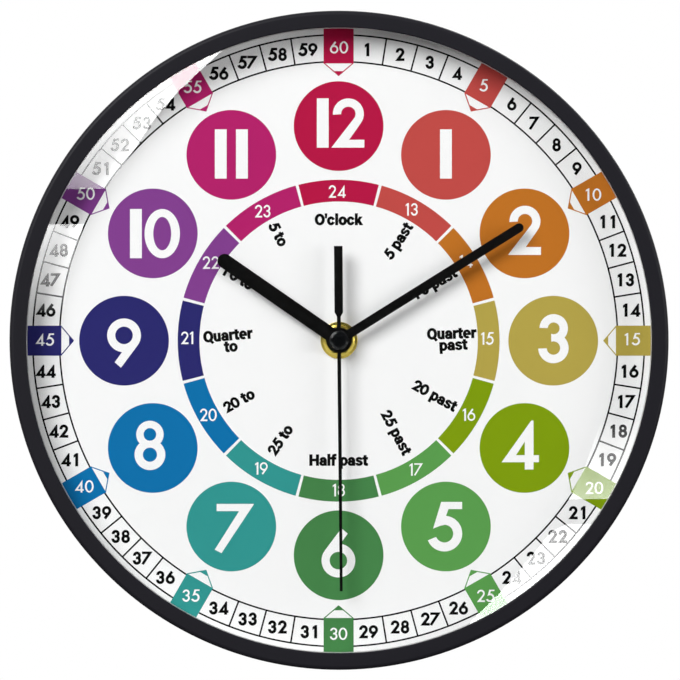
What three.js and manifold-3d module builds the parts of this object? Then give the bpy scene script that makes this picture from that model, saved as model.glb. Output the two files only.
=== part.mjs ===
import * as THREE from "three";
import { mergeVertices } from "three/addons/utils/BufferGeometryUtils.js";
import Module from "manifold-3d";

// Wall clock for teaching the time. Lengths are in millimetres. Until the last lines x runs to
// the right across the dial, y up it, and z out of the wall, with z = 0 on the wall itself.

// Fits
const faceGap = 0.3;
const fitGap = 0.1;
const overrun = 1;

// Case frame
const caseRadius = 150;
const caseWall = 2;
const bezelWidth = 7.7;
const lipThickness = 2.6;
const outerRounding = 2;
const innerRounding = 0.6;
const bossRadius = 2.1;
const bossPilotRadius = 1.1;
const bossPilotDepth = 9;
const caseScrews = 6;

// Case screws
const screwHeadRadius = 1.75;
const screwHeadHeight = 1.4;
const screwRadius = 0.95;
const screwLength = 10;
const screwHoleRadius = 1.15;
const headGap = 0.15;
const crossWidth = 0.5;
const crossLength = 2.2;
const crossDepth = 0.7;

// Lens, dial and the ring that holds them apart
const lensThickness = 2;
const dialThickness = 0.5;
const ringWall = 1.35;
const stackGap = 0.25;
const lensClearance = 1.6;

// Back tray
const trayThickness = 2;
const trayGap = 0.25;
const ribHeight = 3;
const ribWidth = 1.5;
const ringRibInset = 8.75;
const sideRibs = 6;

// Movement case
const wallGap = 2.6;
const wheelGap = 0.55;
const movementCorner = 2;
const shellWall = 1.5;
const partitionWall = 1.4;
const gasketThickness = 0.8;
const gasketRadius = 16;
const locatingGap = 0.4;

// Hanger loop
const loopWidth = 18;
const loopTopWidth = 12;
const loopHeight = 8.8;
const loopThickness = 3;
const loopSlotWidth = 12;
const loopSlotFoot = 1.2;
const loopSlotSide = 2.4;
const loopSlotHeight = 5.2;

// Pipes and arbors of the hands, each of which turns inside the next
const runningGap = 0.2;
const secondsArborRadius = 0.5;
const cannonWall = 0.9;
const hourPipeWall = 0.7;
const hourPipeRise = 2;
const cannonRise = 2.4;
const secondsArborRise = 2.2;
const arborRadius = 0.5;
const rotorArborRadius = 0.35;
const pivotDepth = 0.3;

// Threaded bush with its washer and nut
const bushWall = 1.3;
const bushProud = 0.05;
const collarRadius = 5.5;
const collarHeight = 0.8;
const washerRadius = 8.45;
const washerThickness = 0.4;
const washerDomeRadius = 7.1;
const washerDomeHeight = 0.35;
const nutWidth = 10;
const nutHeight = 2;

// Hands, with their angles clockwise from the top of the dial
const handThickness = 0.5;
const handCollarWall = 0.6;
const handCollarHeight = 0.5;
const hourHandLength = 66.8;
const hourHandWidth = 6.6;
const hourHubRadius = 5.8;
const hourHandRise = 0.8;
const hourHandAngle = 304.7;
const minuteHandLength = 98.9;
const minuteHandWidth = 4.2;
const minuteHubRadius = 4.4;
const minuteHandRise = 1.1;
const minuteHandAngle = 58;
const secondHandLength = 114.4;
const secondHandRootWidth = 1.5;
const secondHandTipWidth = 1.2;
const secondHubRadius = 4.7;
const secondHandRise = 1;
const secondHandAngle = 179.5;
const tailNeckWidth = 1.8;
const tailNeckLength = 10.9;
const tailShoulder = 1.8;
const tailWidth = 3.9;
const tailLength = 43;
const capRadius = 4.3;
const capHeight = 1.1;
const capDome = 0.4;

// Gear train. The motion work's teeth are coarser than the train's, by a share
const rotorLeaves = 8;
const intermediateTeeth = 48;
const fineModule = 0.3;
const intermediateLeaves = 8;
const secondsTeeth = 40;
const secondsLeaves = 8;
const thirdTeeth = 60;
const thirdLeaves = 8;
const centreTeeth = 64;
const motionModuleShare = 4 / 3;
const cannonLeaves = 12;
const motionTeeth = 36;
const motionLeaves = 10;
const hourTeeth = 40;
const settingTeeth = 12;

// Places of the arbors round the middle one, as angles anticlockwise from the right
const thirdAngle = 160;
const intermediateAngle = 60;
const rotorAngle = 60;
const motionAngle = 0;
const settingAngle = -20;

// Shape of a tooth: shares of the module, and half widths as shares of the tooth spacing
const addendumShare = 0.85;
const dedendumShare = 1.15;
const tipHalfShare = 0.11;
const rootHalfShare = 0.26;
const arborClearance = 0.49;

// Layers of the gear train, listed from the dial back towards the wall, each with the gap over it
const motionGap = 0.4;
const hourWheelWidth = 1.4;
const cannonGap = 0.6;
const cannonWidth = 1.3;
const centreGap = 0.7;
const centreWidth = 1.2;
const plateGap = 0.5;
const plateWidth = 0.7;
const thirdGap = 0.8;
const thirdWidth = 1;
const secondsGap = 0.6;
const secondsWidth = 1.2;
const intermediateGap = 0.6;
const intermediateWidth = 1.1;

// Posts and bosses in the movement
const studRadius = 0.8;
const pivotBossRadius = 1.3;
const pivotBossHeight = 0.6;
const platePostRadius = 1;
const plateMargin = 2;
const lowPostOffset = 2.6;
const coverPostRadius = 0.9;
const coverPostInset = 1.5;
const plateSideGap = 1.8;

// Motor
const magnetRadius = 3;
const magnetHubRadius = 0.75;
const rotorHoleRadius = 3.5;
const statorRingWidth = 1.5;
const statorStripWidth = 2.6;
const statorArmWidth = 4;
const coreWidth = 3;
const coreThickness = 1;
const coilLength = 22;
const coilBoardGap = 1;
const windingInset = 0.3;
const flangeSize = 8.6;
const flangeThickness = 1;
const bobbinWall = 0.5;

// Circuit board
const boardWidth = 11;
const boardPostGap = 1.3;
const boardThickness = 1;
const boardFoot = 3;
const chipRadius = 2.5;
const chipHeight = 0.9;
const crystalRadius = 1;
const crystalLength = 6;

// Battery and its contacts
const batteryRadius = 7.05;
const batteryLength = 49.2;
const nubRadius = 2.7;
const nubLength = 1.2;
const contactThickness = 0.3;
const contactInset = 0.25;
const contactHeight = 11;
const contactWidth = 11;
const tongueWidth = 2;
const tongueLength = 8;
const bowDepth = 0.9;
const bowFootShare = 0.8;

// Setting knob
const knobRadius = 5.5;
const knobHeight = 2.7;
const knobRecess = 1.6;
const knobNotches = 18;
const notchDepth = 0.35;
const settingShaftRadius = 1.2;
const settingShaftSocket = 1.5;
const dishGap = 0.4;
const dishWall = 0.9;

// Numbers of flat sides on round pieces
const caseSides = 72;
const discSides = 60;
const roundSides = 24;
const smallSides = 12;
const roundingSteps = 2;

// Depths that follow from the sizes above, from the wall outwards
const movementBack = wallGap;
const coverFace = movementBack + shellWall;
const intermediateBack = coverFace + pivotBossHeight + faceGap;
const intermediateTop = intermediateBack + intermediateWidth;
const secondsBack = intermediateTop + intermediateGap;
const secondsTop = secondsBack + secondsWidth;
const thirdBack = secondsTop + secondsGap;
const thirdTop = thirdBack + thirdWidth;
const plateBack = thirdTop + thirdGap;
const plateTop = plateBack + plateWidth;
const centreBack = plateTop + plateGap;
const centreTop = centreBack + centreWidth;
const cannonLayerBack = centreTop + centreGap;
const cannonLayerTop = cannonLayerBack + cannonWidth;
const hourWheelBack = cannonLayerTop + cannonGap;
const hourWheelTop = hourWheelBack + hourWheelWidth;
const shellFace = hourWheelTop + motionGap;
const movementFront = shellFace + shellWall;
const trayDepth = movementFront + gasketThickness + faceGap * 2;
const trayFront = trayDepth + trayThickness;
const dialBack = trayFront + faceGap;
const dialFront = dialBack + dialThickness;
const washerBack = dialFront + faceGap;
const nutBack = washerBack + washerThickness + washerDomeHeight + faceGap;
const bushTop = nutBack + nutHeight + bushProud;
const hourPipeTop = bushTop + hourPipeRise;
const cannonTop = hourPipeTop + cannonRise;
const secondsArborTop = cannonTop + secondsArborRise;
const needleBack = cannonTop + secondHandRise;
const needleFront = needleBack + handThickness;
const capBack = needleFront + faceGap;
const lensBack = capBack + capHeight + lensClearance;
const lensFront = lensBack + lensThickness;
const lipBack = lensFront + faceGap;
const caseDepth = lipBack + lipThickness;

// Pipes and arbors from the middle outwards
const cannonBore = secondsArborRadius + runningGap;
const cannonRadius = cannonBore + cannonWall;
const hourPipeBore = cannonRadius + runningGap;
const hourPipeRadius = hourPipeBore + hourPipeWall;
const bushBore = hourPipeRadius + runningGap;
const bushRadius = bushBore + bushWall;

// Radii round the middle of the case
const caseInner = caseRadius - caseWall;
const bezelOpening = caseRadius - bezelWidth;
const screwCircle = caseInner - screwHeadRadius - headGap;
const stackRadius = screwCircle - bossRadius - stackGap;
const trayRadius = caseInner - trayGap;
const ringRibRadius = trayRadius - ringRibInset;

// The third wheel's teeth are sized so that it turns as far from the middle as its own leaves do,
// the hour wheel's to turn round the middle, and the intermediate wheel's to pass the middle arbor
const motionModule = fineModule * motionModuleShare;
const centreDistance = (fineModule * (thirdLeaves + centreTeeth)) / 2;
const thirdModule = (centreDistance * 2) / (secondsLeaves + thirdTeeth);
const motionDistance = (motionModule * (cannonLeaves + motionTeeth)) / 2;
const hourModule = (motionDistance * 2) / (motionLeaves + hourTeeth);
const intermediateDistance = (fineModule * (intermediateLeaves + secondsTeeth)) / 2;
const intermediateReach = intermediateDistance - secondsArborRadius - arborClearance;
const rotorModule = intermediateReach / (intermediateTeeth / 2 + addendumShare);
const rotorDistance = (rotorModule * (rotorLeaves + intermediateTeeth)) / 2;
const settingDistance = (motionModule * (motionTeeth + settingTeeth)) / 2;

const radians = THREE.MathUtils.degToRad;

function stepFrom(start, distance, angle) {
  const turn = radians(angle);
  return { x: start.x + distance * Math.cos(turn), y: start.y + distance * Math.sin(turn) };
}

const middle = { x: 0, y: 0 };
const thirdPlace = stepFrom(middle, centreDistance, thirdAngle);
const intermediatePlace = stepFrom(middle, intermediateDistance, intermediateAngle);
const rotorPlace = stepFrom(intermediatePlace, rotorDistance, rotorAngle);
const motionPlace = stepFrom(middle, motionDistance, motionAngle);
const settingPlace = stepFrom(motionPlace, settingDistance, settingAngle);

// The motor stands over the rotor, and the chamber of the gears closes round both
const stripTop = rotorPlace.y + rotorHoleRadius + statorRingWidth + fitGap;
const coilCentreY = stripTop + faceGap + flangeSize / 2;
const chamberTop = coilCentreY + flangeSize / 2 + fitGap * 2;
const centreReach = (centreTeeth / 2 + addendumShare) * fineModule + wheelGap;
const motionReach = (motionTeeth / 2 + addendumShare) * motionModule + faceGap;
const dishReach = knobRadius + dishGap + dishWall + faceGap;
const postReach = platePostRadius * 2 + locatingGap;
const chamberFoot = -Math.max(centreReach, motionReach + postReach, dishReach - settingPlace.y);

// The battery bay lies under that chamber. The battery or the knob, whichever needs more, sets the width
const bayHeight = (batteryRadius + faceGap) * 2;
const bayTop = chamberFoot - partitionWall;
const bayFoot = bayTop - bayHeight;
const contactRoom = (contactThickness + contactInset) * 2 + bowDepth;
const batteryRoom = batteryLength + nubLength + faceGap * 2 + contactRoom;
const chamberHalf = Math.max(batteryRoom / 2, settingPlace.x + dishReach);

const movementHalf = chamberHalf + shellWall;
const movementTop = chamberTop + shellWall;
const movementFoot = bayFoot - shellWall;
const pocketHalf = Math.max(movementHalf, movementTop, -movementFoot) + locatingGap;
const slotTop = movementTop + loopSlotFoot + loopSlotHeight;

const wasm = await Module();
wasm.setup();

// Closed solids from geometries

function solid(geometry) {
  const bare = geometry.index ? geometry.toNonIndexed() : geometry.clone();
  bare.deleteAttribute("normal");
  bare.deleteAttribute("uv");
  const merged = mergeVertices(bare);
  const corners = merged.index.array;
  const kept = [];
  for (let i = 0; i < corners.length; i += 3) {
    const [a, b, c] = corners.slice(i, i + 3);
    if (a !== b && b !== c && c !== a) {
      kept.push(a, b, c);
    }
  }
  const mesh = new wasm.Mesh({
    numProp: 3,
    vertProperties: new Float32Array(merged.attributes.position.array),
    triVerts: new Uint32Array(kept),
  });
  return new wasm.Manifold(mesh);
}

function turned(profile, sides) {
  const points = profile.map(([radius, height]) => new THREE.Vector2(radius, height));
  if (profile[0][0] > 0) {
    points.push(points[0].clone());
  }
  return solid(new THREE.LatheGeometry(points, sides).rotateX(Math.PI / 2));
}

function rod(radius, low, high, sides = smallSides) {
  return turned([[0, low], [radius, low], [radius, high], [0, high]], sides);
}

// A bore's flats stand outside its true circle, so that a round shaft of that radius clears them
function boreRod(radius, low, high, sides = smallSides) {
  return rod(radius / Math.cos(Math.PI / sides), low, high, sides);
}

function tube(outer, inner, low, high, sides = smallSides) {
  return turned([[inner, low], [outer, low], [outer, high], [inner, high]], sides);
}

function block(left, right, foot, top, low, high) {
  const box = new THREE.BoxGeometry(right - left, top - foot, high - low);
  return solid(box.translate((left + right) / 2, (foot + top) / 2, (low + high) / 2));
}

function plate(shape, low, high, steps = smallSides) {
  const options = { depth: high - low, bevelEnabled: false, curveSegments: steps };
  return solid(new THREE.ExtrudeGeometry(shape, options).translate(0, 0, low));
}

function at(shape, place) {
  return shape.translate([place.x, place.y, 0]);
}

function outline(points) {
  return new THREE.Shape(points.map(([x, y]) => new THREE.Vector2(x, y)));
}

function roundedBox(half, foot, top, corner) {
  const shape = new THREE.Shape();
  const side = half - corner;
  const high = top - corner;
  const low = foot + corner;
  shape.absarc(side, high, corner, 0, Math.PI / 2);
  shape.absarc(-side, high, corner, Math.PI / 2, Math.PI);
  shape.absarc(-side, low, corner, Math.PI, Math.PI * 1.5);
  shape.absarc(side, low, corner, Math.PI * 1.5, Math.PI * 2);
  return shape;
}

// Points of a quarter circle about a corner's centre
function rounding(centreRadius, centreHeight, radius, startAngle) {
  const points = [];
  for (let i = 0; i <= roundingSteps; i += 1) {
    const angle = radians(startAngle) + (i / roundingSteps) * (Math.PI / 2);
    const point = [centreRadius + radius * Math.cos(angle), centreHeight + radius * Math.sin(angle)];
    points.push(point);
  }
  return points;
}

// Gears

function gear(teeth, module, phase, low, high) {
  const pitchRadius = (teeth * module) / 2;
  const tip = pitchRadius + module * addendumShare;
  const root = pitchRadius - module * dedendumShare;
  const spacing = (Math.PI * 2) / teeth;
  const corners = [
    [root, -rootHalfShare],
    [tip, -tipHalfShare],
    [tip, tipHalfShare],
    [root, rootHalfShare],
  ];
  const points = [];
  for (let tooth = 0; tooth < teeth; tooth += 1) {
    for (const [radius, share] of corners) {
      const angle = phase + (tooth + share) * spacing;
      points.push([radius * Math.cos(angle), radius * Math.sin(angle)]);
    }
  }
  return plate(outline(points), low, high);
}

// The turn of the second gear of a pair that puts a gap of it at a tooth of the first
function meshPhase(firstPhase, firstTeeth, secondTeeth, lineAngle) {
  const line = radians(lineAngle);
  const halfTooth = Math.PI / secondTeeth;
  return line + Math.PI + halfTooth - ((firstPhase - line) * firstTeeth) / secondTeeth;
}

const halfTurn = 180;
const intermediatePhase = meshPhase(0, rotorLeaves, intermediateTeeth, rotorAngle + halfTurn);
const secondsPhase = meshPhase(0, intermediateLeaves, secondsTeeth, intermediateAngle + halfTurn);
const thirdPhase = meshPhase(0, secondsLeaves, thirdTeeth, thirdAngle);
const centrePhase = meshPhase(0, thirdLeaves, centreTeeth, thirdAngle + halfTurn);
const motionPhase = meshPhase(0, cannonLeaves, motionTeeth, motionAngle);
const settingPhase = meshPhase(motionPhase, motionTeeth, settingTeeth, settingAngle);
const hourPhase = meshPhase(0, motionLeaves, hourTeeth, motionAngle + halfTurn);

// Case frame, lens, dial and back tray

function screwPlaces() {
  const places = [];
  for (let i = 0; i < caseScrews; i += 1) {
    places.push(stepFrom(middle, screwCircle, ((i + 0.5) * 360) / caseScrews));
  }
  return places;
}

function caseBoss(place) {
  const foot = trayFront + faceGap;
  const top = lipBack + lipThickness / 2;
  const web = block(0, caseInner + caseWall / 2 - screwCircle, -bossRadius, bossRadius, foot, top);
  const turn = THREE.MathUtils.radToDeg(Math.atan2(place.y, place.x));
  const pilot = boreRod(bossPilotRadius, foot - overrun, foot + bossPilotDepth);
  const boss = rod(bossRadius, foot, top).add(web.rotate([0, 0, turn]));
  return at(boss.subtract(pilot), place);
}

function caseFrame() {
  const outerCentre = caseRadius - outerRounding;
  const innerCentre = bezelOpening + innerRounding;
  const outerEdge = rounding(outerCentre, caseDepth - outerRounding, outerRounding, 0);
  const innerEdge = rounding(innerCentre, caseDepth - innerRounding, innerRounding, 90);
  const profile = [
    [caseInner, 0],
    [caseRadius, 0],
    ...outerEdge,
    ...innerEdge,
    [bezelOpening, lipBack],
    [caseInner, lipBack],
  ];
  const shell = turned(profile, caseSides);
  return screwPlaces().reduce((sum, place) => sum.add(caseBoss(place)), shell);
}

function lens() {
  return rod(stackRadius, lensBack, lensFront, discSides);
}

function spacerRing() {
  return tube(stackRadius, stackRadius - ringWall, dialFront + faceGap, lensBack - faceGap, discSides);
}

function dial() {
  const hole = boreRod(bushRadius + fitGap, dialBack - overrun, dialFront + overrun, roundSides);
  return rod(stackRadius, dialBack, dialFront, discSides).subtract(hole);
}

function sideRib(index) {
  const angle = (index * 360) / sideRibs;
  const turn = radians(angle);
  const slope = Math.max(Math.abs(Math.cos(turn)), Math.abs(Math.sin(turn)));
  const half = ribWidth / 2;
  const start = (pocketHalf + half) / slope;
  const rib = block(start, ringRibRadius + half, -half, half, trayDepth - ribHeight, trayDepth + fitGap);
  return rib.rotate([0, 0, angle]);
}

function backTray() {
  const ribFoot = trayDepth - ribHeight;
  const ribTop = trayDepth + fitGap;
  const floor = rod(trayRadius, trayDepth, trayFront, discSides);
  const ringRib = tube(ringRibRadius + ribWidth, ringRibRadius, ribFoot, ribTop, discSides);
  const outer = pocketHalf + ribWidth;
  const inner = pocketHalf;
  const outerFrame = block(-outer, outer, -outer, outer, ribFoot, ribTop);
  const innerFrame = block(-inner, inner, -inner, inner, ribFoot - overrun, ribTop + overrun);
  let tray = floor.add(ringRib).add(outerFrame.subtract(innerFrame));
  for (let i = 0; i < sideRibs; i += 1) {
    tray = tray.add(sideRib(i));
  }
  tray = tray.subtract(boreRod(bushRadius + fitGap, ribFoot, trayFront + overrun, roundSides));
  const hole = boreRod(screwHoleRadius, ribFoot, trayFront + overrun);
  return screwPlaces().reduce((rest, place) => rest.subtract(at(hole, place)), tray);
}

function caseScrew() {
  const headFront = trayDepth - faceGap;
  const headBack = headFront - screwHeadHeight;
  const shank = rod(screwRadius, headFront - overrun / 2, headFront + screwLength);
  const head = rod(screwHeadRadius, headBack, headFront);
  const long = crossLength / 2;
  const wide = crossWidth / 2;
  const slot = block(-long, long, -wide, wide, headBack - overrun, headBack + crossDepth);
  return head.add(shank).subtract(slot).subtract(slot.rotate([0, 0, 90]));
}

// Movement case, cover and what fixes the movement to the dial

function hangerLoop() {
  const foot = movementTop - shellWall / 2;
  const top = movementTop + loopHeight;
  const shape = outline([
    [loopWidth / 2, foot],
    [loopTopWidth / 2, top],
    [-loopTopWidth / 2, top],
    [-loopWidth / 2, foot],
  ]);
  const slotFoot = movementTop + loopSlotFoot;
  const slotShoulder = slotFoot + loopSlotSide;
  const slot = new THREE.Path();
  slot.moveTo(-loopSlotWidth / 2, slotFoot);
  slot.lineTo(-loopSlotWidth / 2, slotShoulder);
  slot.quadraticCurveTo(0, slotTop * 2 - slotShoulder, loopSlotWidth / 2, slotShoulder);
  slot.lineTo(loopSlotWidth / 2, slotFoot);
  slot.closePath();
  shape.holes.push(slot);
  return plate(shape, movementBack, movementBack + loopThickness);
}

function platePosts() {
  const coverPostSide = chamberHalf - coverPostInset - coverPostRadius;
  const left = plateSideGap + plateMargin - coverPostSide;
  const right = boardLeft - platePostRadius - locatingGap;
  const high = rotorPlace.y + platePostRadius;
  const low = chamberFoot + platePostRadius + locatingGap;
  return [
    { x: left, y: low },
    { x: left, y: high },
    { x: right, y: high },
    { x: motionPlace.x + lowPostOffset, y: low },
  ];
}

function coverPosts() {
  const side = chamberHalf - coverPostInset;
  const top = chamberTop - coverPostInset;
  const foot = chamberFoot + coverPostInset;
  return [
    { x: -side, y: top },
    { x: side, y: top },
    { x: -side, y: foot },
    { x: side, y: foot },
  ];
}

function movementCase() {
  const front = movementFront + overrun;
  const back = movementBack - overrun;
  const box = roundedBox(movementHalf, movementFoot, movementTop, movementCorner);
  let shell = plate(box, movementBack, movementFront, roundingSteps);
  shell = shell.add(hangerLoop());
  shell = shell.subtract(block(-chamberHalf, chamberHalf, chamberFoot, chamberTop, back, shellFace));
  shell = shell.subtract(block(-chamberHalf, chamberHalf, bayFoot, bayTop, back, shellFace));
  for (const side of [-1, 1]) {
    const notchInner = side * (chamberHalf - contactInset * 2 - contactThickness - fitGap);
    const [left, right] = [notchInner, side * chamberHalf].sort((a, b) => a - b);
    const low = shellFace - contactHeight / 2 - fitGap;
    const high = low + tongueWidth + fitGap * 2;
    shell = shell.subtract(block(left, right, bayTop - overrun, chamberFoot + overrun, low, high));
  }
  for (const place of platePosts()) {
    shell = shell.add(at(rod(platePostRadius, plateTop + faceGap, shellFace + fitGap), place));
  }
  for (const place of coverPosts()) {
    shell = shell.add(at(rod(coverPostRadius, coverFace + faceGap, shellFace + fitGap), place));
  }
  shell = shell.add(at(rod(studRadius, cannonLayerBack - fitGap, shellFace + fitGap), motionPlace));
  shell = shell.add(at(pivotBoss(cannonLayerBack, arborRadius), thirdPlace));
  shell = shell.add(at(pivotBoss(hourWheelBack, settingShaftRadius), settingPlace));
  return shell.subtract(boreRod(bushRadius + fitGap, back, front, roundSides));
}

// A boss on the inside of the shell's face, with a blind hole for the end of an arbor
function pivotBoss(low, radius) {
  const wall = pivotBossRadius - arborRadius;
  const hole = boreRod(radius + fitGap, low - overrun, shellFace - fitGap);
  return rod(radius + wall, low, shellFace + fitGap).subtract(hole);
}

function coverBoss(radius) {
  return rod(radius + pivotBossRadius - arborRadius, coverFace - fitGap, coverFace + pivotBossHeight);
}

function coverPivotHole(radius) {
  const low = coverFace - pivotDepth - faceGap;
  return boreRod(radius + fitGap, low, coverFace + pivotBossHeight + overrun);
}

function movementCover() {
  const side = chamberHalf - faceGap;
  const foot = chamberFoot + faceGap;
  const top = chamberTop - faceGap;
  const dishRadius = knobRadius + dishGap;
  const dishFloor = movementBack + knobRecess;
  const dish = rod(dishRadius + dishWall, movementBack, dishFloor + dishWall, roundSides);
  const dishRoom = rod(dishRadius, movementBack - overrun, dishFloor, roundSides);
  let cover = block(-side, side, foot, top, movementBack, coverFace);
  cover = cover.add(at(dish, settingPlace)).subtract(at(dishRoom, settingPlace));
  const shaftHole = boreRod(settingShaftRadius + fitGap * 2, movementBack, coverFace + knobHeight);
  cover = cover.subtract(at(shaftHole, settingPlace));
  const pivots = [
    [middle, arborRadius],
    [thirdPlace, arborRadius],
    [intermediatePlace, arborRadius],
    [rotorPlace, rotorArborRadius],
  ];
  for (const [place, radius] of pivots) {
    cover = cover.add(at(coverBoss(radius), place));
  }
  for (const [place, radius] of pivots) {
    cover = cover.subtract(at(coverPivotHole(radius), place));
  }
  return cover;
}

function gasket() {
  const low = movementFront + faceGap;
  return tube(gasketRadius, collarRadius + locatingGap, low, low + gasketThickness, roundSides);
}

function centreBush() {
  const collarLow = movementFront + faceGap;
  const body = rod(bushRadius, shellFace, bushTop, roundSides);
  const collar = rod(collarRadius, collarLow, collarLow + collarHeight, roundSides);
  return body.add(collar).subtract(boreRod(bushBore, shellFace - overrun, bushTop + overrun, roundSides));
}

function dialWasher() {
  const inner = bushRadius + fitGap * 2;
  const step = washerBack + washerThickness;
  const profile = [
    [inner, washerBack],
    [washerRadius, washerBack],
    [washerRadius, step],
    [washerDomeRadius + washerDomeHeight, step],
    [washerDomeRadius, step + washerDomeHeight],
    [inner, step + washerDomeHeight],
  ];
  return turned(profile, roundSides);
}

function dialNut() {
  const nutSides = 6;
  const nutFront = nutBack + nutHeight;
  const cornerRadius = nutWidth / 2 / Math.cos(Math.PI / nutSides);
  const hole = boreRod(bushRadius + fitGap, nutBack - overrun, nutFront + overrun, roundSides);
  return rod(cornerRadius, nutBack, nutFront, nutSides).subtract(hole);
}

// Gear train

function hourWheel() {
  const wheel = gear(hourTeeth, hourModule, hourPhase, hourWheelBack, hourWheelTop);
  const pipe = rod(hourPipeRadius, hourWheelBack, hourPipeTop, roundSides);
  const bore = boreRod(hourPipeBore, hourWheelBack - overrun, hourPipeTop + overrun);
  return wheel.add(pipe).subtract(bore);
}

function cannonPinion() {
  const foot = centreBack - fitGap;
  const flangeRadius = (cannonLeaves * motionModule) / 2 + motionModule / 2;
  const sleeve = rod(cannonRadius, foot, cannonTop, roundSides);
  const flange = rod(flangeRadius, centreTop + faceGap, cannonLayerBack - fitGap, roundSides);
  const leaves = gear(cannonLeaves, motionModule, 0, cannonLayerBack, cannonLayerTop);
  const bore = boreRod(cannonBore, foot - overrun, cannonTop + overrun);
  return sleeve.add(flange).add(leaves).subtract(bore);
}

function centreWheel() {
  const wheel = gear(centreTeeth, fineModule, centrePhase, centreBack, centreTop);
  const bore = boreRod(cannonRadius + fitGap, centreBack - overrun, centreTop + overrun, roundSides);
  return wheel.subtract(bore);
}

function motionWheel() {
  const wheel = gear(motionTeeth, motionModule, motionPhase, cannonLayerBack, cannonLayerTop);
  const leaves = gear(motionLeaves, hourModule, 0, cannonLayerTop - fitGap, hourWheelTop);
  const bore = boreRod(studRadius + fitGap, cannonLayerBack - overrun, hourWheelTop + overrun);
  return at(wheel.add(leaves).subtract(bore), motionPlace);
}

function settingPinion() {
  const shaftBack = movementBack + knobRecess - faceGap - settingShaftSocket;
  const shaft = rod(settingShaftRadius, shaftBack, hourWheelTop - fitGap);
  const teeth = gear(settingTeeth, motionModule, settingPhase, cannonLayerBack, cannonLayerTop);
  return at(shaft.add(teeth), settingPlace);
}

function settingKnob() {
  const front = movementBack + knobRecess - faceGap;
  const back = front - knobHeight;
  const points = [];
  const steps = knobNotches * 2;
  for (let i = 0; i < steps; i += 1) {
    const radius = i % 2 === 0 ? knobRadius : knobRadius - notchDepth;
    const angle = (i * Math.PI * 2) / steps;
    points.push([radius * Math.cos(angle), radius * Math.sin(angle)]);
  }
  const socketDepth = settingShaftSocket + faceGap;
  const socket = boreRod(settingShaftRadius + fitGap, front - socketDepth, front + overrun);
  return at(plate(outline(points), back, front).subtract(socket), settingPlace);
}

function thirdWheel() {
  const wheel = gear(thirdTeeth, thirdModule, thirdPhase, thirdBack, thirdTop);
  const leaves = gear(thirdLeaves, fineModule, 0, thirdTop - fitGap, centreTop);
  const arbor = rod(arborRadius, coverFace - pivotDepth, cannonLayerTop);
  return at(wheel.add(leaves).add(arbor), thirdPlace);
}

function secondsWheel() {
  const wheel = gear(secondsTeeth, fineModule, secondsPhase, secondsBack, secondsTop);
  const leaves = gear(secondsLeaves, thirdModule, 0, secondsTop - fitGap, thirdTop);
  const bore = boreRod(secondsArborRadius + fitGap, secondsBack - overrun, thirdTop + overrun);
  return wheel.add(leaves).subtract(bore);
}

function secondsArbor() {
  return rod(secondsArborRadius, coverFace - pivotDepth, secondsArborTop);
}

function intermediateWheel() {
  const wheel = gear(intermediateTeeth, rotorModule, intermediatePhase, intermediateBack, intermediateTop);
  const leaves = gear(intermediateLeaves, fineModule, 0, intermediateTop - fitGap, secondsTop);
  const arbor = rod(arborRadius, coverFace - pivotDepth, plateTop - fitGap);
  return at(wheel.add(leaves).add(arbor), intermediatePlace);
}

function rotorPinion() {
  const leaves = gear(rotorLeaves, rotorModule, 0, intermediateBack, intermediateTop);
  const hub = rod(magnetHubRadius, intermediateTop - fitGap, thirdTop);
  const arbor = rod(rotorArborRadius, coverFace - pivotDepth, plateTop - fitGap);
  return at(leaves.add(hub).add(arbor), rotorPlace);
}

function rotorMagnet() {
  const bore = boreRod(magnetHubRadius + fitGap, thirdBack - overrun, thirdTop + overrun);
  return at(rod(magnetRadius, thirdBack, thirdTop, roundSides).subtract(bore), rotorPlace);
}

function middlePlate() {
  const [first, , third] = platePosts();
  const left = first.x - plateMargin;
  const right = settingPlace.x + settingShaftRadius + plateMargin;
  const notch = boardFoot - platePostRadius;
  const shape = outline([
    [left, chamberFoot + faceGap],
    [right, chamberFoot + faceGap],
    [right, notch],
    [third.x + platePostRadius, notch],
    [third.x + platePostRadius, third.y + platePostRadius],
    [left, third.y + platePostRadius],
  ]);
  const holes = [
    [middle, secondsArborRadius],
    [thirdPlace, (thirdLeaves * fineModule) / 2 + fineModule],
    [intermediatePlace, arborRadius],
    [rotorPlace, rotorArborRadius],
    [settingPlace, settingShaftRadius],
  ];
  let sheet = plate(shape, plateBack, plateTop);
  for (const [place, radius] of holes) {
    const hole = boreRod(radius + fitGap * 2, plateBack - overrun, plateTop + overrun);
    sheet = sheet.subtract(at(hole, place));
  }
  return sheet;
}

// Motor

const boardRight = chamberHalf - faceGap - fitGap * 2;
const boardLeft = boardRight - boardWidth;
const coilRight = boardLeft - coilBoardGap - flangeThickness;
const coilLeft = coilRight - coilLength;
const coreBack = thirdTop + faceGap;
const coreTop = coreBack + coreThickness;
const coilCentreZ = (coreBack + coreTop) / 2;

function stator() {
  const stripFoot = stripTop - statorStripWidth;
  const armTop = coilCentreY + coreWidth / 2;
  const left = coilLeft - flangeThickness - faceGap;
  const right = coilRight + flangeThickness + faceGap;
  const farLeft = left - statorArmWidth;
  const farRight = right + statorArmWidth;
  const ring = rod(rotorHoleRadius + statorRingWidth, thirdBack, thirdTop, roundSides);
  const strip = block(farLeft, farRight, stripFoot, stripTop, thirdBack, thirdTop);
  const leftArm = block(farLeft, left, stripFoot, armTop, thirdBack, thirdTop);
  const rightArm = block(right, farRight, stripFoot, armTop, thirdBack, thirdTop);
  const hole = boreRod(rotorHoleRadius, thirdBack - overrun, thirdTop + overrun, roundSides);
  return at(ring, rotorPlace).add(strip).add(leftArm).add(rightArm).subtract(at(hole, rotorPlace));
}

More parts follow.
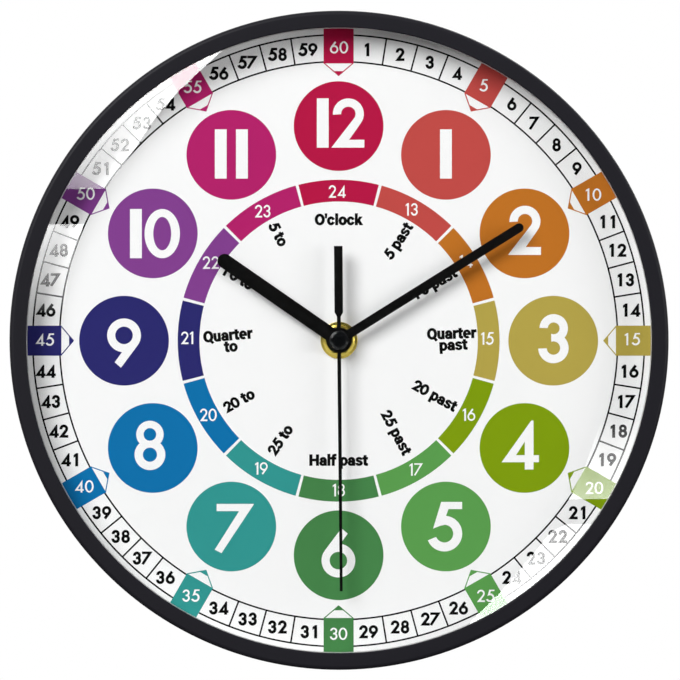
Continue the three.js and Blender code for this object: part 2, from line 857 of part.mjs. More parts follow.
function coilCore() {
  const reach = flangeThickness + faceGap + statorArmWidth;
  const foot = coilCentreY - coreWidth / 2;
  return block(coilLeft - reach, coilRight + reach, foot, foot + coreWidth, coreBack, coreTop);
}

function coilBobbin() {
  const half = flangeSize / 2;
  const tubeHalfY = coreWidth / 2 + fitGap + bobbinWall;
  const tubeHalfZ = coreThickness / 2 + fitGap + bobbinWall;
  const foot = coilCentreY - half;
  const top = coilCentreY + half;
  const low = coilCentreZ - half;
  const high = coilCentreZ + half;
  const leftFlange = block(coilLeft - flangeThickness, coilLeft, foot, top, low, high);
  const rightFlange = block(coilRight, coilRight + flangeThickness, foot, top, low, high);
  const sleeve = block(
    coilLeft - fitGap,
    coilRight + fitGap,
    coilCentreY - tubeHalfY,
    coilCentreY + tubeHalfY,
    coilCentreZ - tubeHalfZ,
    coilCentreZ + tubeHalfZ,
  );
  const passage = block(
    coilLeft - flangeThickness - overrun,
    coilRight + flangeThickness + overrun,
    coilCentreY - coreWidth / 2 - fitGap,
    coilCentreY + coreWidth / 2 + fitGap,
    coreBack - fitGap,
    coreTop + fitGap,
  );
  return leftFlange.add(rightFlange).add(sleeve).subtract(passage);
}

function coilWinding() {
  const half = coilLength / 2 - fitGap;
  const hollowY = coreWidth / 2 + fitGap * 2 + bobbinWall;
  const hollowZ = coreThickness / 2 + fitGap * 2 + bobbinWall;
  const winding = rod(flangeSize / 2 - windingInset, -half, half, roundSides).rotate([0, 90, 0]);
  const hollow = block(-coilLength, coilLength, -hollowY, hollowY, -hollowZ, hollowZ);
  return winding.subtract(hollow).translate([(coilLeft + coilRight) / 2, coilCentreY, coilCentreZ]);
}

// Circuit board

const boardHead = chamberTop - coverPostInset - coverPostRadius - boardPostGap;
const boardTop = cannonLayerBack - faceGap - fitGap;
const boardBack = boardTop - boardThickness;

function circuitBoard() {
  return block(boardLeft, boardRight, boardFoot, boardHead, boardBack, boardTop);
}

function chip() {
  const place = { x: boardLeft + boardWidth / 2, y: boardFoot + (boardHead - boardFoot) / 3 };
  const top = boardBack - faceGap;
  const profile = [
    [0, top - chipHeight],
    [chipRadius / 2, top - chipHeight],
    [chipRadius, top - chipHeight / 3],
    [chipRadius, top],
    [0, top],
  ];
  return at(turned(profile, smallSides), place);
}

function crystal() {
  const place = { x: boardRight - crystalRadius * 2, y: (boardFoot + boardHead) / 2 };
  const can = rod(crystalRadius, 0, crystalLength).rotate([-90, 0, 0]);
  return at(can.translate([0, 0, boardBack - faceGap - crystalRadius]), place);
}

// Battery and its contacts

const batteryY = bayFoot + bayHeight / 2;
const batteryZ = shellFace - faceGap - batteryRadius;
const contactFace = chamberHalf - contactInset - contactThickness;
const nubEnd = contactFace - faceGap;
const batteryRight = nubEnd - nubLength;
const batteryLeft = batteryRight - batteryLength;

function battery() {
  const profile = [
    [0, batteryLeft],
    [batteryRadius, batteryLeft],
    [batteryRadius, batteryRight],
    [nubRadius, batteryRight],
    [nubRadius, nubEnd],
    [0, nubEnd],
  ];
  const cell = turned(profile, roundSides).rotate([0, 90, 0]);
  return cell.translate([0, batteryY, batteryZ]);
}

function contactPlate() {
  const outer = contactFace + contactThickness;
  const foot = batteryY - contactWidth / 2;
  const top = batteryY + contactWidth / 2;
  const low = batteryZ - contactHeight / 2;
  const tongueLow = shellFace - contactHeight / 2;
  const tongueHigh = tongueLow + tongueWidth;
  const face = block(contactFace, outer, foot, top, low, low + contactHeight);
  const tongue = block(contactFace, outer, top - overrun, top + tongueLength, tongueLow, tongueHigh);
  return face.add(tongue);
}

// The far contact is bowed towards the battery, so that it presses on the battery's flat end
function bowedContact() {
  const tip = batteryLeft - faceGap;
  const root = -contactFace - contactThickness / 2;
  const low = -contactHeight / 2;
  const shape = outline([
    [low, root],
    [low * bowFootShare, root],
    [-contactThickness, tip - contactThickness],
    [contactThickness, tip - contactThickness],
    [-low * bowFootShare, root],
    [-low, root],
    [-low * bowFootShare, root + contactThickness],
    [contactThickness, tip],
    [-contactThickness, tip],
    [low * bowFootShare, root + contactThickness],
  ]);
  const halfWidth = contactWidth / 4;
  const strip = plate(shape, -halfWidth, halfWidth).rotate([0, 0, 90]).rotate([90, 0, 0]);
  return strip;
}

function negativeContact() {
  const bow = bowedContact().scale([-1, 1, 1]).translate([0, batteryY, batteryZ]);
  return contactPlate().mirror([1, 0, 0]).add(bow);
}

// Hands

function handBlank(length, width, hubRadius, holeRadius, low) {
  const half = width / 2;
  const shape = new THREE.Shape();
  shape.moveTo(-half, 0);
  shape.lineTo(half, 0);
  shape.lineTo(half, length - half);
  shape.absarc(0, length - half, half, 0, Math.PI);
  shape.closePath();
  const top = low + handThickness;
  const hub = rod(hubRadius, low, top, roundSides);
  const collar = rod(holeRadius + handCollarWall, low - handCollarHeight, low + fitGap, roundSides);
  const hole = boreRod(holeRadius, low - handCollarHeight - overrun, top + overrun, roundSides);
  return plate(shape, low, top, smallSides / 2).add(hub).add(collar).subtract(hole);
}

function hourHand() {
  const low = bushTop + hourHandRise;
  return handBlank(hourHandLength, hourHandWidth, hourHubRadius, hourPipeRadius + fitGap, low);
}

function minuteHand() {
  const low = hourPipeTop + minuteHandRise;
  return handBlank(minuteHandLength, minuteHandWidth, minuteHubRadius, cannonRadius + fitGap, low);
}

function secondHand() {
  const needle = outline([
    [-secondHandRootWidth / 2, 0],
    [secondHandRootWidth / 2, 0],
    [secondHandTipWidth / 2, secondHandLength],
    [-secondHandTipWidth / 2, secondHandLength],
  ]);
  const tail = outline([
    [tailNeckWidth / 2, 0],
    [-tailNeckWidth / 2, 0],
    [-tailNeckWidth / 2, -tailNeckLength],
    [-tailWidth / 2, -tailNeckLength - tailShoulder],
    [-tailWidth / 2, -tailLength],
    [tailWidth / 2, -tailLength],
    [tailWidth / 2, -tailNeckLength - tailShoulder],
    [tailNeckWidth / 2, -tailNeckLength],
  ]);
  const hub = rod(secondHubRadius, needleBack, needleFront, roundSides);
  const hole = boreRod(secondsArborRadius + fitGap, needleBack - overrun, needleFront + overrun);
  const blade = plate(needle, needleBack, needleFront).add(plate(tail, needleBack, needleFront));
  return blade.add(hub).subtract(hole);
}

function secondHandCollet() {
  const inner = (secondsArborRadius + fitGap) / Math.cos(Math.PI / smallSides);
  return tube(inner + handCollarWall, inner, cannonTop + faceGap, needleBack - faceGap / 2);
}

function secondHandCap() {
  const top = capBack + capHeight;
  const profile = [
    [0, capBack],
    [capRadius, capBack],
    [capRadius, top - capDome],
    [capRadius - capDome, top],
    [0, top],
  ];
  const socket = boreRod(secondsArborRadius + fitGap, capBack - overrun, secondsArborTop + faceGap / 2);
  return turned(profile, roundSides).subtract(socket);
}

// Materials

function material(colour, roughness, metalness = 0) {
  return new THREE.MeshStandardMaterial({ color: colour, roughness, metalness });
}

const blackPlastic = material(0x27262b, 0.5);
const handBlack = material(0x0e0e10, 0.4);
const clear = material(0xeef4f6, 0.05);
clear.transparent = true;
clear.opacity = 0.3;
const whitePlastic = material(0xf2f2f0, 0.5);
const paper = material(0xfafafa, 0.7);
const brass = material(0xb08f2f, 0.35, 1);
const steel = material(0xb9babd, 0.35, 1);
const zinc = material(0x9a9ca0, 0.4, 1);
const rubber = material(0x1b1b1c, 0.9);
const nylon = material(0xe9e6dc, 0.6);
const magnetGrey = material(0x4c4d50, 0.6, 1);
const copper = material(0xa4552a, 0.35, 1);
const boardGreen = material(0x2e6b3e, 0.6);
const resin = material(0x17171a, 0.4);
const batteryWrap = material(0x3f4a57, 0.45);

// The clock as a group of named pieces

function pieceFrom(name, shape, look) {
  const { vertProperties, triVerts } = shape.getMesh();
  const geometry = new THREE.BufferGeometry();
  geometry.setAttribute("position", new THREE.BufferAttribute(new Float32Array(vertProperties), 3));
  geometry.setIndex(new THREE.BufferAttribute(new Uint32Array(triVerts), 1));
  geometry.computeVertexNormals();
  const mesh = new THREE.Mesh(geometry, look);
  mesh.name = name;
  return mesh;
}

function groupOf(pieces) {
  const group = new THREE.Group();
  for (const [name, shape, look] of pieces) {
    group.add(pieceFrom(name, shape, look));
  }
  return group;
}

// A hand is drawn pointing up the dial and turned clockwise from there
function handGroup(pieces, clockwise) {
  const group = groupOf(pieces);
  group.rotation.z = -radians(clockwise);
  return group;
}

function screwGroup() {
  const group = new THREE.Group();
  screwPlaces().forEach((place, index) => {
    const screw = pieceFrom(`case_screw_${index + 1}`, caseScrew(), zinc);
    screw.position.set(place.x, place.y, 0);
    group.add(screw);
  });
  return group;
}

const clock = new THREE.Group();
clock.add(
  groupOf([
    ["case_frame", caseFrame(), blackPlastic],
    ["lens", lens(), clear],
    ["spacer_ring", spacerRing(), whitePlastic],
    ["dial", dial(), paper],
    ["back_tray", backTray(), blackPlastic],
  ]),
);
clock.add(screwGroup());
clock.add(
  groupOf([
    ["movement_case", movementCase(), blackPlastic],
    ["movement_cover", movementCover(), blackPlastic],
    ["movement_gasket", gasket(), rubber],
    ["centre_bush", centreBush(), brass],
    ["dial_washer", dialWasher(), brass],
    ["dial_nut", dialNut(), brass],
    ["middle_plate", middlePlate(), nylon],
    ["hour_wheel", hourWheel(), nylon],
    ["motion_wheel", motionWheel(), nylon],
    ["cannon_pinion", cannonPinion(), nylon],
    ["centre_wheel", centreWheel(), nylon],
    ["third_wheel", thirdWheel(), nylon],
    ["seconds_wheel", secondsWheel(), nylon],
    ["seconds_arbor", secondsArbor(), steel],
    ["intermediate_wheel", intermediateWheel(), nylon],
    ["rotor_pinion", rotorPinion(), nylon],
    ["rotor_magnet", rotorMagnet(), magnetGrey],
    ["setting_pinion", settingPinion(), nylon],
    ["setting_knob", settingKnob(), blackPlastic],
  ]),
);
clock.add(
  groupOf([
    ["stator_plate", stator(), steel],
    ["coil_core", coilCore(), steel],
    ["coil_bobbin", coilBobbin(), nylon],
    ["coil_winding", coilWinding(), copper],
    ["circuit_board", circuitBoard(), boardGreen],
    ["chip", chip(), resin],
    ["quartz_crystal", crystal(), steel],
    ["battery", battery(), batteryWrap],
    ["positive_contact", contactPlate(), steel],
    ["negative_contact", negativeContact(), steel],
  ]),
);
clock.add(handGroup([["hour_hand", hourHand(), handBlack]], hourHandAngle));
clock.add(handGroup([["minute_hand", minuteHand(), handBlack]], minuteHandAngle));
clock.add(
  handGroup(
    [
      ["second_hand", secondHand(), handBlack],
      ["second_hand_collet", secondHandCollet(), brass],
      ["second_hand_cap", secondHandCap(), handBlack],
    ],
    secondHandAngle,
  ),
);

// The part stands upright with its dial facing -Y, and its origin where the nail carries it:
// under the top of the hanger loop's slot, in the plane of the wall
const part = new THREE.Group();
clock.rotation.x = Math.PI / 2;
clock.position.z = -slotTop;
part.add(clock);

export default part;
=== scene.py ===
"""A wall clock for teaching the time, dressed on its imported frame."""

import math
from collections import namedtuple

import bmesh
import bpy
from mathutils import Matrix, Vector
from mathutils.geometry import delaunay_2d_cdt

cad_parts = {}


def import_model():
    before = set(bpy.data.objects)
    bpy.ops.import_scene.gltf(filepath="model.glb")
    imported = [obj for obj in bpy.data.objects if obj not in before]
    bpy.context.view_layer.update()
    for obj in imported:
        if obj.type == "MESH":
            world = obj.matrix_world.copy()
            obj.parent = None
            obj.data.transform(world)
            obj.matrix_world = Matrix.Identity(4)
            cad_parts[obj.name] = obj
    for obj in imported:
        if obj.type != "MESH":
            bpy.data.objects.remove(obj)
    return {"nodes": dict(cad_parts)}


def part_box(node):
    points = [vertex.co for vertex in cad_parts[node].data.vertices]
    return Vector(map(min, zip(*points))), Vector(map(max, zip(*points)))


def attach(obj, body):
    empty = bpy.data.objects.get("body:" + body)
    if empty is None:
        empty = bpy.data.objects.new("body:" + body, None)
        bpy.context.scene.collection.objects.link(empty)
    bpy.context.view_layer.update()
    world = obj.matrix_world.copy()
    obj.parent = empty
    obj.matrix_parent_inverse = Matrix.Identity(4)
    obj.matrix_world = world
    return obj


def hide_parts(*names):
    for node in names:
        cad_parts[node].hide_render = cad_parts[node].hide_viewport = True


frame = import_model()
bpy.context.view_layer.update()
nodes = frame["nodes"]

# Lengths are in millimetres in the dial's own frame until a piece is finished: x runs to the
# right across the dial, y up it, and z out of the wall. PLACE takes that frame to the row frame.
MM = 0.001
dial_low, dial_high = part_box("dial")
middle_x = (dial_low.x + dial_high.x) / 2
middle_z = (dial_low.z + dial_high.z) / 2
PLACE = Matrix(((MM, 0, 0, middle_x), (0, 0, -MM, 0), (0, MM, 0, middle_z), (0, 0, 0, 1)))

Extent = namedtuple("Extent", "left right foot top back front")


def extent(node):
    """Where a CAD node reaches, in the dial's frame."""
    low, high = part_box(node)
    across = [(low.x - middle_x) / MM, (high.x - middle_x) / MM]
    up = [(low.z - middle_z) / MM, (high.z - middle_z) / MM]
    return Extent(*across, *up, -high.y / MM, -low.y / MM)


case = extent("case_frame")
lens = extent("lens")
ring = extent("spacer_ring")
card = extent("dial")
tray = extent("back_tray")

# Camera, whose picture is VIEW_WIDTH wide where the case is widest
CAMERA_DISTANCE = 4000
VIEW_WIDTH = 309.47
SENSOR_WIDTH = 36
VIEW_SHIFT_X = 0.43
VIEW_SHIFT_Y = 0.13

# Sizes on the dial were measured at the scale of the clock's front face. The dial lies further
# back, so they are a little larger there.
print_scale = (CAMERA_DISTANCE + case.front - card.front) / CAMERA_DISTANCE


# Outlines, each a list of (x, y)

# Points closer than this are one point
CLOSE_POINTS = 1e-5

# The larger this is, the less the point of a sharp corner moves outwards
CORNER_LIMIT = 0.5


def arc(x, y, radius, start, end, steps=16, squeeze=1):
    """Points of an arc from start to end, in degrees anticlockwise from the right."""
    points = []
    for i in range(steps + 1):
        turn = math.radians(start + (end - start) * i / steps)
        points.append((x + radius * squeeze * math.cos(turn), y + radius * math.sin(turn)))
    return points


def circle(x, y, radius, steps=32, squeeze=1):
    return arc(x, y, radius, 0, 360, steps, squeeze)[:-1]


def rounded(x, y, radius, start, steps):
    """The quarter of a circle, from start degrees on, that rounds an outline's corner at x and y."""
    middle = math.radians(start + 45)
    inwards_x = math.copysign(radius, math.cos(middle))
    inwards_y = math.copysign(radius, math.sin(middle))
    return arc(x - inwards_x, y - inwards_y, radius, start, start + 90, steps)


def sector(x, y, outer, inner, start, end, steps=16):
    """Part of a ring."""
    return arc(x, y, outer, start, end, steps) + arc(x, y, inner, end, start, steps)


def rectangle(left, right, foot, top):
    return [(left, foot), (right, foot), (right, top), (left, top)]


def chamfered_disc(hole, radius, low, high, edge):
    """The outline that a disc with a hole and a chamfered rim has on one side of its axis."""
    rim = [(radius - edge, low), (radius, low + edge), (radius, high - edge), (radius - edge, high)]
    return [(hole, low), *rim, (hole, high)]


def turned(points, degrees, x=0, y=0, scale=1):
    """Points scaled and turned anticlockwise about the origin, and then moved."""
    turn = math.radians(degrees)
    along, across = scale * math.cos(turn), scale * math.sin(turn)
    return [(x + along * u - across * v, y + across * u + along * v) for u, v in points]


def clock_place(radius, degrees):
    """A point at an angle clockwise from the top of the dial."""
    turn = math.radians(degrees)
    return radius * math.sin(turn), radius * math.cos(turn)


def anticlockwise(loop):
    """The outline itself, or its reverse where it runs clockwise."""
    pairs = zip(loop, loop[1:] + loop[:1])
    area = sum(a[0] * b[1] - b[0] * a[1] for a, b in pairs)
    return loop if area > 0 else loop[::-1]


def region(solids, holes=()):
    """The flat area that the solid outlines cover and the holes leave open, as (points, triangles)."""
    points, loops = [], []
    for loop in [*solids, *holes]:
        start = len(points)
        points.extend(Vector(p) for p in anticlockwise(list(loop)))
        loops.append(list(range(start, len(points))))
    found, _, triangles, _, _, owners = delaunay_2d_cdt(points, [], loops, 0, CLOSE_POINTS)
    kept = []
    for triangle, owner in zip(triangles, owners):
        if owner and max(owner) < len(solids):
            kept.append(tuple(triangle))
    return [(p.x, p.y) for p in found], kept


def border(faces):
    """The edges of a flat region, as pairs of point numbers."""
    edges = {(a, b) for face in faces for a, b in zip(face, face[1:] + face[:1])}
    return [(a, b) for a, b in edges if (b, a) not in edges]


def spread_edges(flat, by):
    """A flat region whose edges have moved outwards, as wet ink's do."""
    points, faces = flat
    outward = {}
    for a, b in border(faces):
        along = (Vector(points[b]) - Vector(points[a])).normalized()
        for i in (a, b):
            outward.setdefault(i, []).append(Vector((along.y, -along.x)))
    moved = list(points)
    for i, (first, second) in outward.items():
        away = (first + second) / max(1 + first.dot(second), CORNER_LIMIT)
        moved[i] = (points[i][0] + away.x * by, points[i][1] + away.y * by)
    return moved, faces


# Closed bodies in a bmesh

# Faces that turn by less than this, in degrees, are one flat face
FLAT_ANGLE = 0.5

# How far a body reaches into one that it joins, or past one that it cuts
OVERLAP = 1


def slab(body, flat, low, high):
    """Adds a flat region as a plate from low to high."""
    points, faces = flat
    used = sorted({i for face in faces for i in face})
    foot = {i: body.verts.new((*points[i], low)) for i in used}
    top = {i: body.verts.new((*points[i], high)) for i in used}
    for face in faces:
        body.faces.new([top[i] for i in face])
        body.faces.new([foot[i] for i in reversed(face)])
    for a, b in border(faces):
        body.faces.new([foot[a], foot[b], top[b], top[a]])
    return body


def plate(flat, low, high, rounding=0):
    """A flat region as a plate of its own, with its edges rounded where rounding is given."""
    body = slab(bmesh.new(), flat, low, high)
    if rounding:
        join_flat_faces(body)
        round_edges(body, rounding)
    return body


def join_flat_faces(body):
    limit = math.radians(FLAT_ANGLE)
    bmesh.ops.dissolve_limit(body, angle_limit=limit, verts=body.verts, edges=body.edges)


def round_edges(body, rounding, sharp=30, shortest=0, highest=math.inf):
    """Rounds the long edges, below a height, that turn by more than sharp degrees."""
    chosen = []
    for edge in body.edges:
        if edge.is_manifold and edge.calc_face_angle() > math.radians(sharp):
            if edge.calc_length() >= shortest and max(v.co.z for v in edge.verts) < highest:
                chosen.append(edge)
    bmesh.ops.bevel(body, geom=chosen, offset=rounding, segments=2, profile=0.6, affect="EDGES")


def lathe(profile, sides=96, x=0, y=0):
    """The closed body that a closed profile of (radius, height) sweeps round an upright axis."""
    body = bmesh.new()
    rings = []
    for radius, height in profile:
        if radius == 0:
            rings.append([body.verts.new((x, y, height))])
            continue
        turns = [math.tau * i / sides for i in range(sides)]
        spots = [(x + radius * math.cos(t), y + radius * math.sin(t), height) for t in turns]
        rings.append([body.verts.new(spot) for spot in spots])
    for first, second in zip(rings, rings[1:] + rings[:1]):
        if len(first) == len(second) == 1:
            continue
        for i in range(sides):
            j = (i + 1) % sides
            corners = [first[i % len(first)], first[j % len(first)]]
            corners += [second[j % len(second)], second[i % len(second)]]
            body.faces.new(list(dict.fromkeys(corners)))
    bmesh.ops.recalc_face_normals(body, faces=body.faces)
    return body


def scene_object(name, data):
    made = bpy.data.objects.new(name, data)
    bpy.context.scene.collection.objects.link(made)
    return made


def used_up(body, name="part"):
    """A mesh made from a bmesh that isn't needed any more."""
    mesh = bpy.data.meshes.new(name)
    body.to_mesh(mesh)
    body.free()
    return mesh


def merged(bodies):
    """One bmesh with all of these in it, each still a closed body."""
    whole = bmesh.new()
    for body in bodies:
        mesh = used_up(body)
        whole.from_mesh(mesh)
        bpy.data.meshes.remove(mesh)
    return whole


def combine(body, tool, operation):
    """The union, difference or intersection of two bodies, which it uses up."""
    pair = [scene_object("part", used_up(part)) for part in (body, tool)]
    cut = pair[0].modifiers.new("cut", "BOOLEAN")
    cut.operation = operation
    cut.solver = "EXACT"
    cut.object = pair[1]
    result = bmesh.new()
    result.from_object(pair[0], bpy.context.evaluated_depsgraph_get())
    for part in pair:
        mesh = part.data
        bpy.data.objects.remove(part)
        bpy.data.meshes.remove(mesh)
    return result


def piece(name, body, look, rides="housing", stands_for=None, place=PLACE, smooth=32):
    """Finishes a bmesh as a named piece of the clock, which may stand for a CAD node."""
    body.transform(place)
    mesh = used_up(body, name)
    mesh.polygons.foreach_set("use_smooth", [True] * len(mesh.polygons))
    mesh.set_sharp_from_angle(angle=math.radians(smooth))
    mesh.materials.append(look)
    made = scene_object(name, mesh)
    even = made.modifiers.new("even", "WEIGHTED_NORMAL")
    even.keep_sharp = True
    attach(made, rides)
    if stands_for:
        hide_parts(stands_for)


# Materials

# Nearly all of a noise's values are between these two
NOISE_LOW = 0.3
NOISE_HIGH = 0.7

GLOSS_CHANGE = 0.05
METAL_GLOSS_CHANGE = 0.04
WORN_METAL = 0.93


def new_material(name):
    made = bpy.data.materials.new(name)
    made.use_nodes = True
    tree = made.node_tree
    return made, tree, tree.nodes["Principled BSDF"]


def linear(code):
    """A colour written as six hexadecimal digits, in the linear values that shaders use."""
    shares = [int(code[i : i + 2], 16) / 255 for i in (0, 2, 4)]
    return [s / 12.92 if s <= 0.04045 else ((s + 0.055) / 1.055) ** 2.4 for s in shares]


def set_inputs(tree, node, inputs):
    """Sets each input of a node to a value, or links it to another node's output."""
    for key, value in inputs.items():
        if isinstance(value, bpy.types.NodeSocket):
            tree.links.new(value, node.inputs[key])
        else:
            node.inputs[key].default_value = value


def add_node(tree, kind, inputs):
    made = tree.nodes.new("ShaderNode" + kind)
    set_inputs(tree, made, inputs)
    return made


def own_place(tree):
    """The place on a piece, in metres."""
    return tree.nodes.new("ShaderNodeTexCoord").outputs["Object"]


def noise(tree, scale, detail, stretch=None):
    """Noise in the piece's own place, with scale in features a metre."""
    spot = own_place(tree)
    if stretch:
        spot = add_node(tree, "Mapping", {"Vector": spot, "Scale": stretch}).outputs["Vector"]
    return add_node(tree, "TexNoise", {"Vector": spot, "Scale": scale, "Detail": detail}).outputs["Fac"]


def map_range(tree, value, start, end, low=0, high=1):
    """A number that goes from low to high while value goes from start to end."""
    inputs = {"Value": value, "From Min": start, "From Max": end, "To Min": low, "To Max": high}
    return add_node(tree, "MapRange", inputs).outputs["Result"]


def spread(tree, factor, low, high):
    """Noise brought to the whole range from low to high."""
    return map_range(tree, factor, NOISE_LOW, NOISE_HIGH, low, high)


def light_path(tree):
    return tree.nodes.new("ShaderNodeLightPath").outputs


def maths(tree, operation, first, second):
    made = add_node(tree, "Math", {0: first, 1: second})
    made.operation = operation
    return made.outputs["Value"]


def blend_colours(tree, factor, first, second):
    made = tree.nodes.new("ShaderNodeMix")
    made.data_type = "RGBA"
    for socket, colour in (("A", first), ("B", second)):
        found = [s for s in made.inputs if s.name == socket and s.type == "RGBA"][0]
        found.default_value = (*colour, 1)
    tree.links.new(factor, made.inputs["Factor"])
    return [s for s in made.outputs if s.type == "RGBA"][0]


def mix_shaders(tree, factor, first, second):
    return add_node(tree, "MixShader", {"Fac": factor, 1: first, 2: second}).outputs["Shader"]


def show(tree, shader_output):
    """Makes this what the material's surface shows."""
    tree.links.new(shader_output, tree.nodes["Material Output"].inputs["Surface"])


def bump(tree, shader, height, depth):
    made = add_node(tree, "Bump", {"Height": height, "Distance": depth})
    tree.links.new(made.outputs["Normal"], shader.inputs["Normal"])


def finish(name, colour, roughness, metallic=0, specular=0.5, mottle=0.06, mottle_scale=60,
           grain=2500, depth=6e-6, stretch=None):
    """A surface with a little change of colour and gloss, and a grain that stands up by depth."""
    made, tree, shader = new_material(name)
    broad = noise(tree, mottle_scale, detail=3)
    fine = noise(tree, grain, detail=2, stretch=stretch)
    darker = [c * (1 - mottle) for c in colour]
    lighter = [min(1, c * (1 + mottle)) for c in colour]
    set_inputs(tree, shader, {
        "Metallic": metallic,
        "Specular IOR Level": specular,
        "Base Color": blend_colours(tree, broad, darker, lighter),
        "Roughness": spread(tree, fine, roughness - GLOSS_CHANGE, roughness + GLOSS_CHANGE),
    })
    bump(tree, shader, fine, depth)
    return made


def turned_metal(name, colour, roughness, groove, depth):
    """Dull metal with the fine rings of a lathe round the middle of the dial."""
    made, tree, shader = new_material(name)
    centred = add_node(tree, "VectorMath", {0: own_place(tree), 1: (middle_x, 0, middle_z)})
    centred.operation = "SUBTRACT"
    spot = centred.outputs["Vector"]
    rings = add_node(tree, "TexWave", {"Vector": spot, "Scale": groove, "Distortion": 1.5, "Detail": 2})
    rings.wave_type = "RINGS"
    rings.rings_direction = "Y"
    worn = noise(tree, scale=300, detail=3)
    darker = [c * WORN_METAL for c in colour]
    set_inputs(tree, shader, {
        "Metallic": 0.92,
        "Base Color": blend_colours(tree, worn, darker, colour),
        "Roughness": spread(tree, worn, roughness - METAL_GLOSS_CHANGE, roughness + METAL_GLOSS_CHANGE),
    })
    bump(tree, shader, rings.outputs["Fac"], depth)
    return made


def clear_glass(name):
    """Clear glass that lets lamp light and light from the dial straight through."""
    made, tree, shader = new_material(name)
    haze = noise(tree, scale=25, detail=2)
    set_inputs(tree, shader, {
        "Base Color": blend_colours(tree, haze, (0.985, 0.995, 0.99), (1, 1, 1)),
        "Roughness": 0,
        "IOR": 1.46,
        "Transmission Weight": 1,
    })
    path = light_path(tree)
    clear = tree.nodes.new("ShaderNodeBsdfTransparent").outputs["BSDF"]
    last = shader.outputs["BSDF"]
    for ray in ("Is Diffuse Ray", "Is Shadow Ray"):
        last = mix_shaders(tree, path[ray], last, clear)
    show(tree, last)
    return made


def wrap_with_bands(name, bands):
    """Smooth wrap that changes colour along x, with bands of (start in metres, colour, metallic)."""
    made, tree, shader = new_material(name)
    axes = add_node(tree, "SeparateXYZ", {"Vector": own_place(tree)})
    first, last = bands[0][0], bands[-1][0] + MM
    along = map_range(tree, axes.outputs["X"], first, last)
    for socket, pick in (("Base Color", 1), ("Metallic", 2)):
        ramp = add_node(tree, "ValToRGB", {"Fac": along})
        ramp.color_ramp.interpolation = "CONSTANT"
        stops = ramp.color_ramp.elements
        while len(stops) < len(bands):
            stops.new(1)
        for stop, band in zip(stops, bands):
            stop.position = (band[0] - first) / (last - first)
            value = band[pick]
            stop.color = (*value, 1) if pick == 1 else (value, value, value, 1)
        tree.links.new(ramp.outputs["Color"], shader.inputs[socket])
    scuffs = noise(tree, scale=900, detail=3)
    set_inputs(tree, shader, {"Roughness": spread(tree, scuffs, low=0.28, high=0.4)})
    bump(tree, shader, scuffs, depth=4e-6)
    return made


def grey(level):
    return (level, level, level)


PAPER = {"roughness": 0.6, "specular": 0.15, "mottle": 0.004, "grain": 4000, "depth": 2e-6}
DRY_INK = {"roughness": 0.6, "specular": 0.04, "grain": 4000, "depth": 2e-6}

case_black = (0.0125, 0.012, 0.016)
moulded_black = finish("moulded_black", case_black, 0.45, specular=0.12, grain=3200, depth=5e-6)
tray_black = finish("tray_black", (0.022, 0.022, 0.024), 0.55, specular=0.3, grain=1800, depth=1.2e-5)
shell_black = finish("shell_black", (0.012, 0.012, 0.013), 0.38, specular=0.4, grain=2600)
white_plastic = finish("white_plastic", grey(0.5), 0.5, specular=0.2, mottle=0.01, depth=3e-6)
card_white = finish("card_white", grey(0.955), **PAPER)
print_white = finish("print_white", grey(0.955), **PAPER)
print_black = finish("print_black", grey(0.002), mottle=0.1, **DRY_INK)
hand_black = finish("hand_black", grey(0.002), 0.4, specular=0.05, mottle=0.15, grain=1500, depth=4e-6)
cap_black = finish("cap_black", (0.003, 0.0035, 0.004), 0.14, mottle=0.1, grain=1500, depth=4e-7)
brass = turned_metal("brass", (0.6, 0.47, 0.09), 0.21, groove=420, depth=1.5e-6)
zinc = finish("zinc", (0.6, 0.61, 0.63), 0.3, metallic=1, mottle=0.12, mottle_scale=800, depth=5e-6)
steel = finish("steel", (0.55, 0.55, 0.57), 0.28, metallic=1, grain=1500, stretch=(1, 1, 30))
nylon = finish("nylon", (0.82, 0.78, 0.68), 0.45, mottle=0.03)
rubber = finish("rubber", grey(0.02), 0.75, specular=0.3, grain=1500, depth=1.5e-5)
magnet = finish("magnet", (0.12, 0.12, 0.13), 0.5, metallic=1, mottle=0.2, mottle_scale=900)
copper = finish("copper", (0.6, 0.2, 0.07), 0.3, metallic=1, grain=900, depth=4e-5, stretch=(20, 1, 1))
board = finish("board", (0.02, 0.12, 0.04), 0.25, mottle=0.35, mottle_scale=500)
resin = finish("resin", grey(0.01), 0.2, mottle=0.1)
glass = clear_glass("glass")

STEEL_NODES = [
    "seconds_arbor", "stator_plate", "coil_core", "quartz_crystal", "positive_contact",
    "negative_contact", "second_hand_collet",
]
node_looks = {
    "movement_gasket": rubber, "centre_bush": brass, "rotor_magnet": magnet,
    "coil_winding": copper, "circuit_board": board, "chip": resin,
    **dict.fromkeys(STEEL_NODES, steel),
}
for name, node in nodes.items():
    node.data.materials.clear()
    node.data.materials.append(node_looks.get(name, nylon))


# Case, lens, ring and card

CASE_SIDES = 256
BEZEL_OPENING = 142.3
LIP_THICKNESS = 2.6
CASE_INNER = tray.right + 0.25
OUTER_ROUNDING = 2
INNER_ROUNDING = 0.6
RIM_ROUNDING = 0.35
SCREWS = 6
SCREW_CIRCLE = 146.1
BOSS_RADIUS = 2.1
PILOT_RADIUS = 1.1
PILOT_DEPTH = 9
PILOT_POINT = 1


def screw_places():
    return [clock_place(SCREW_CIRCLE, 360 * (i + 1) / SCREWS) for i in range(SCREWS)]


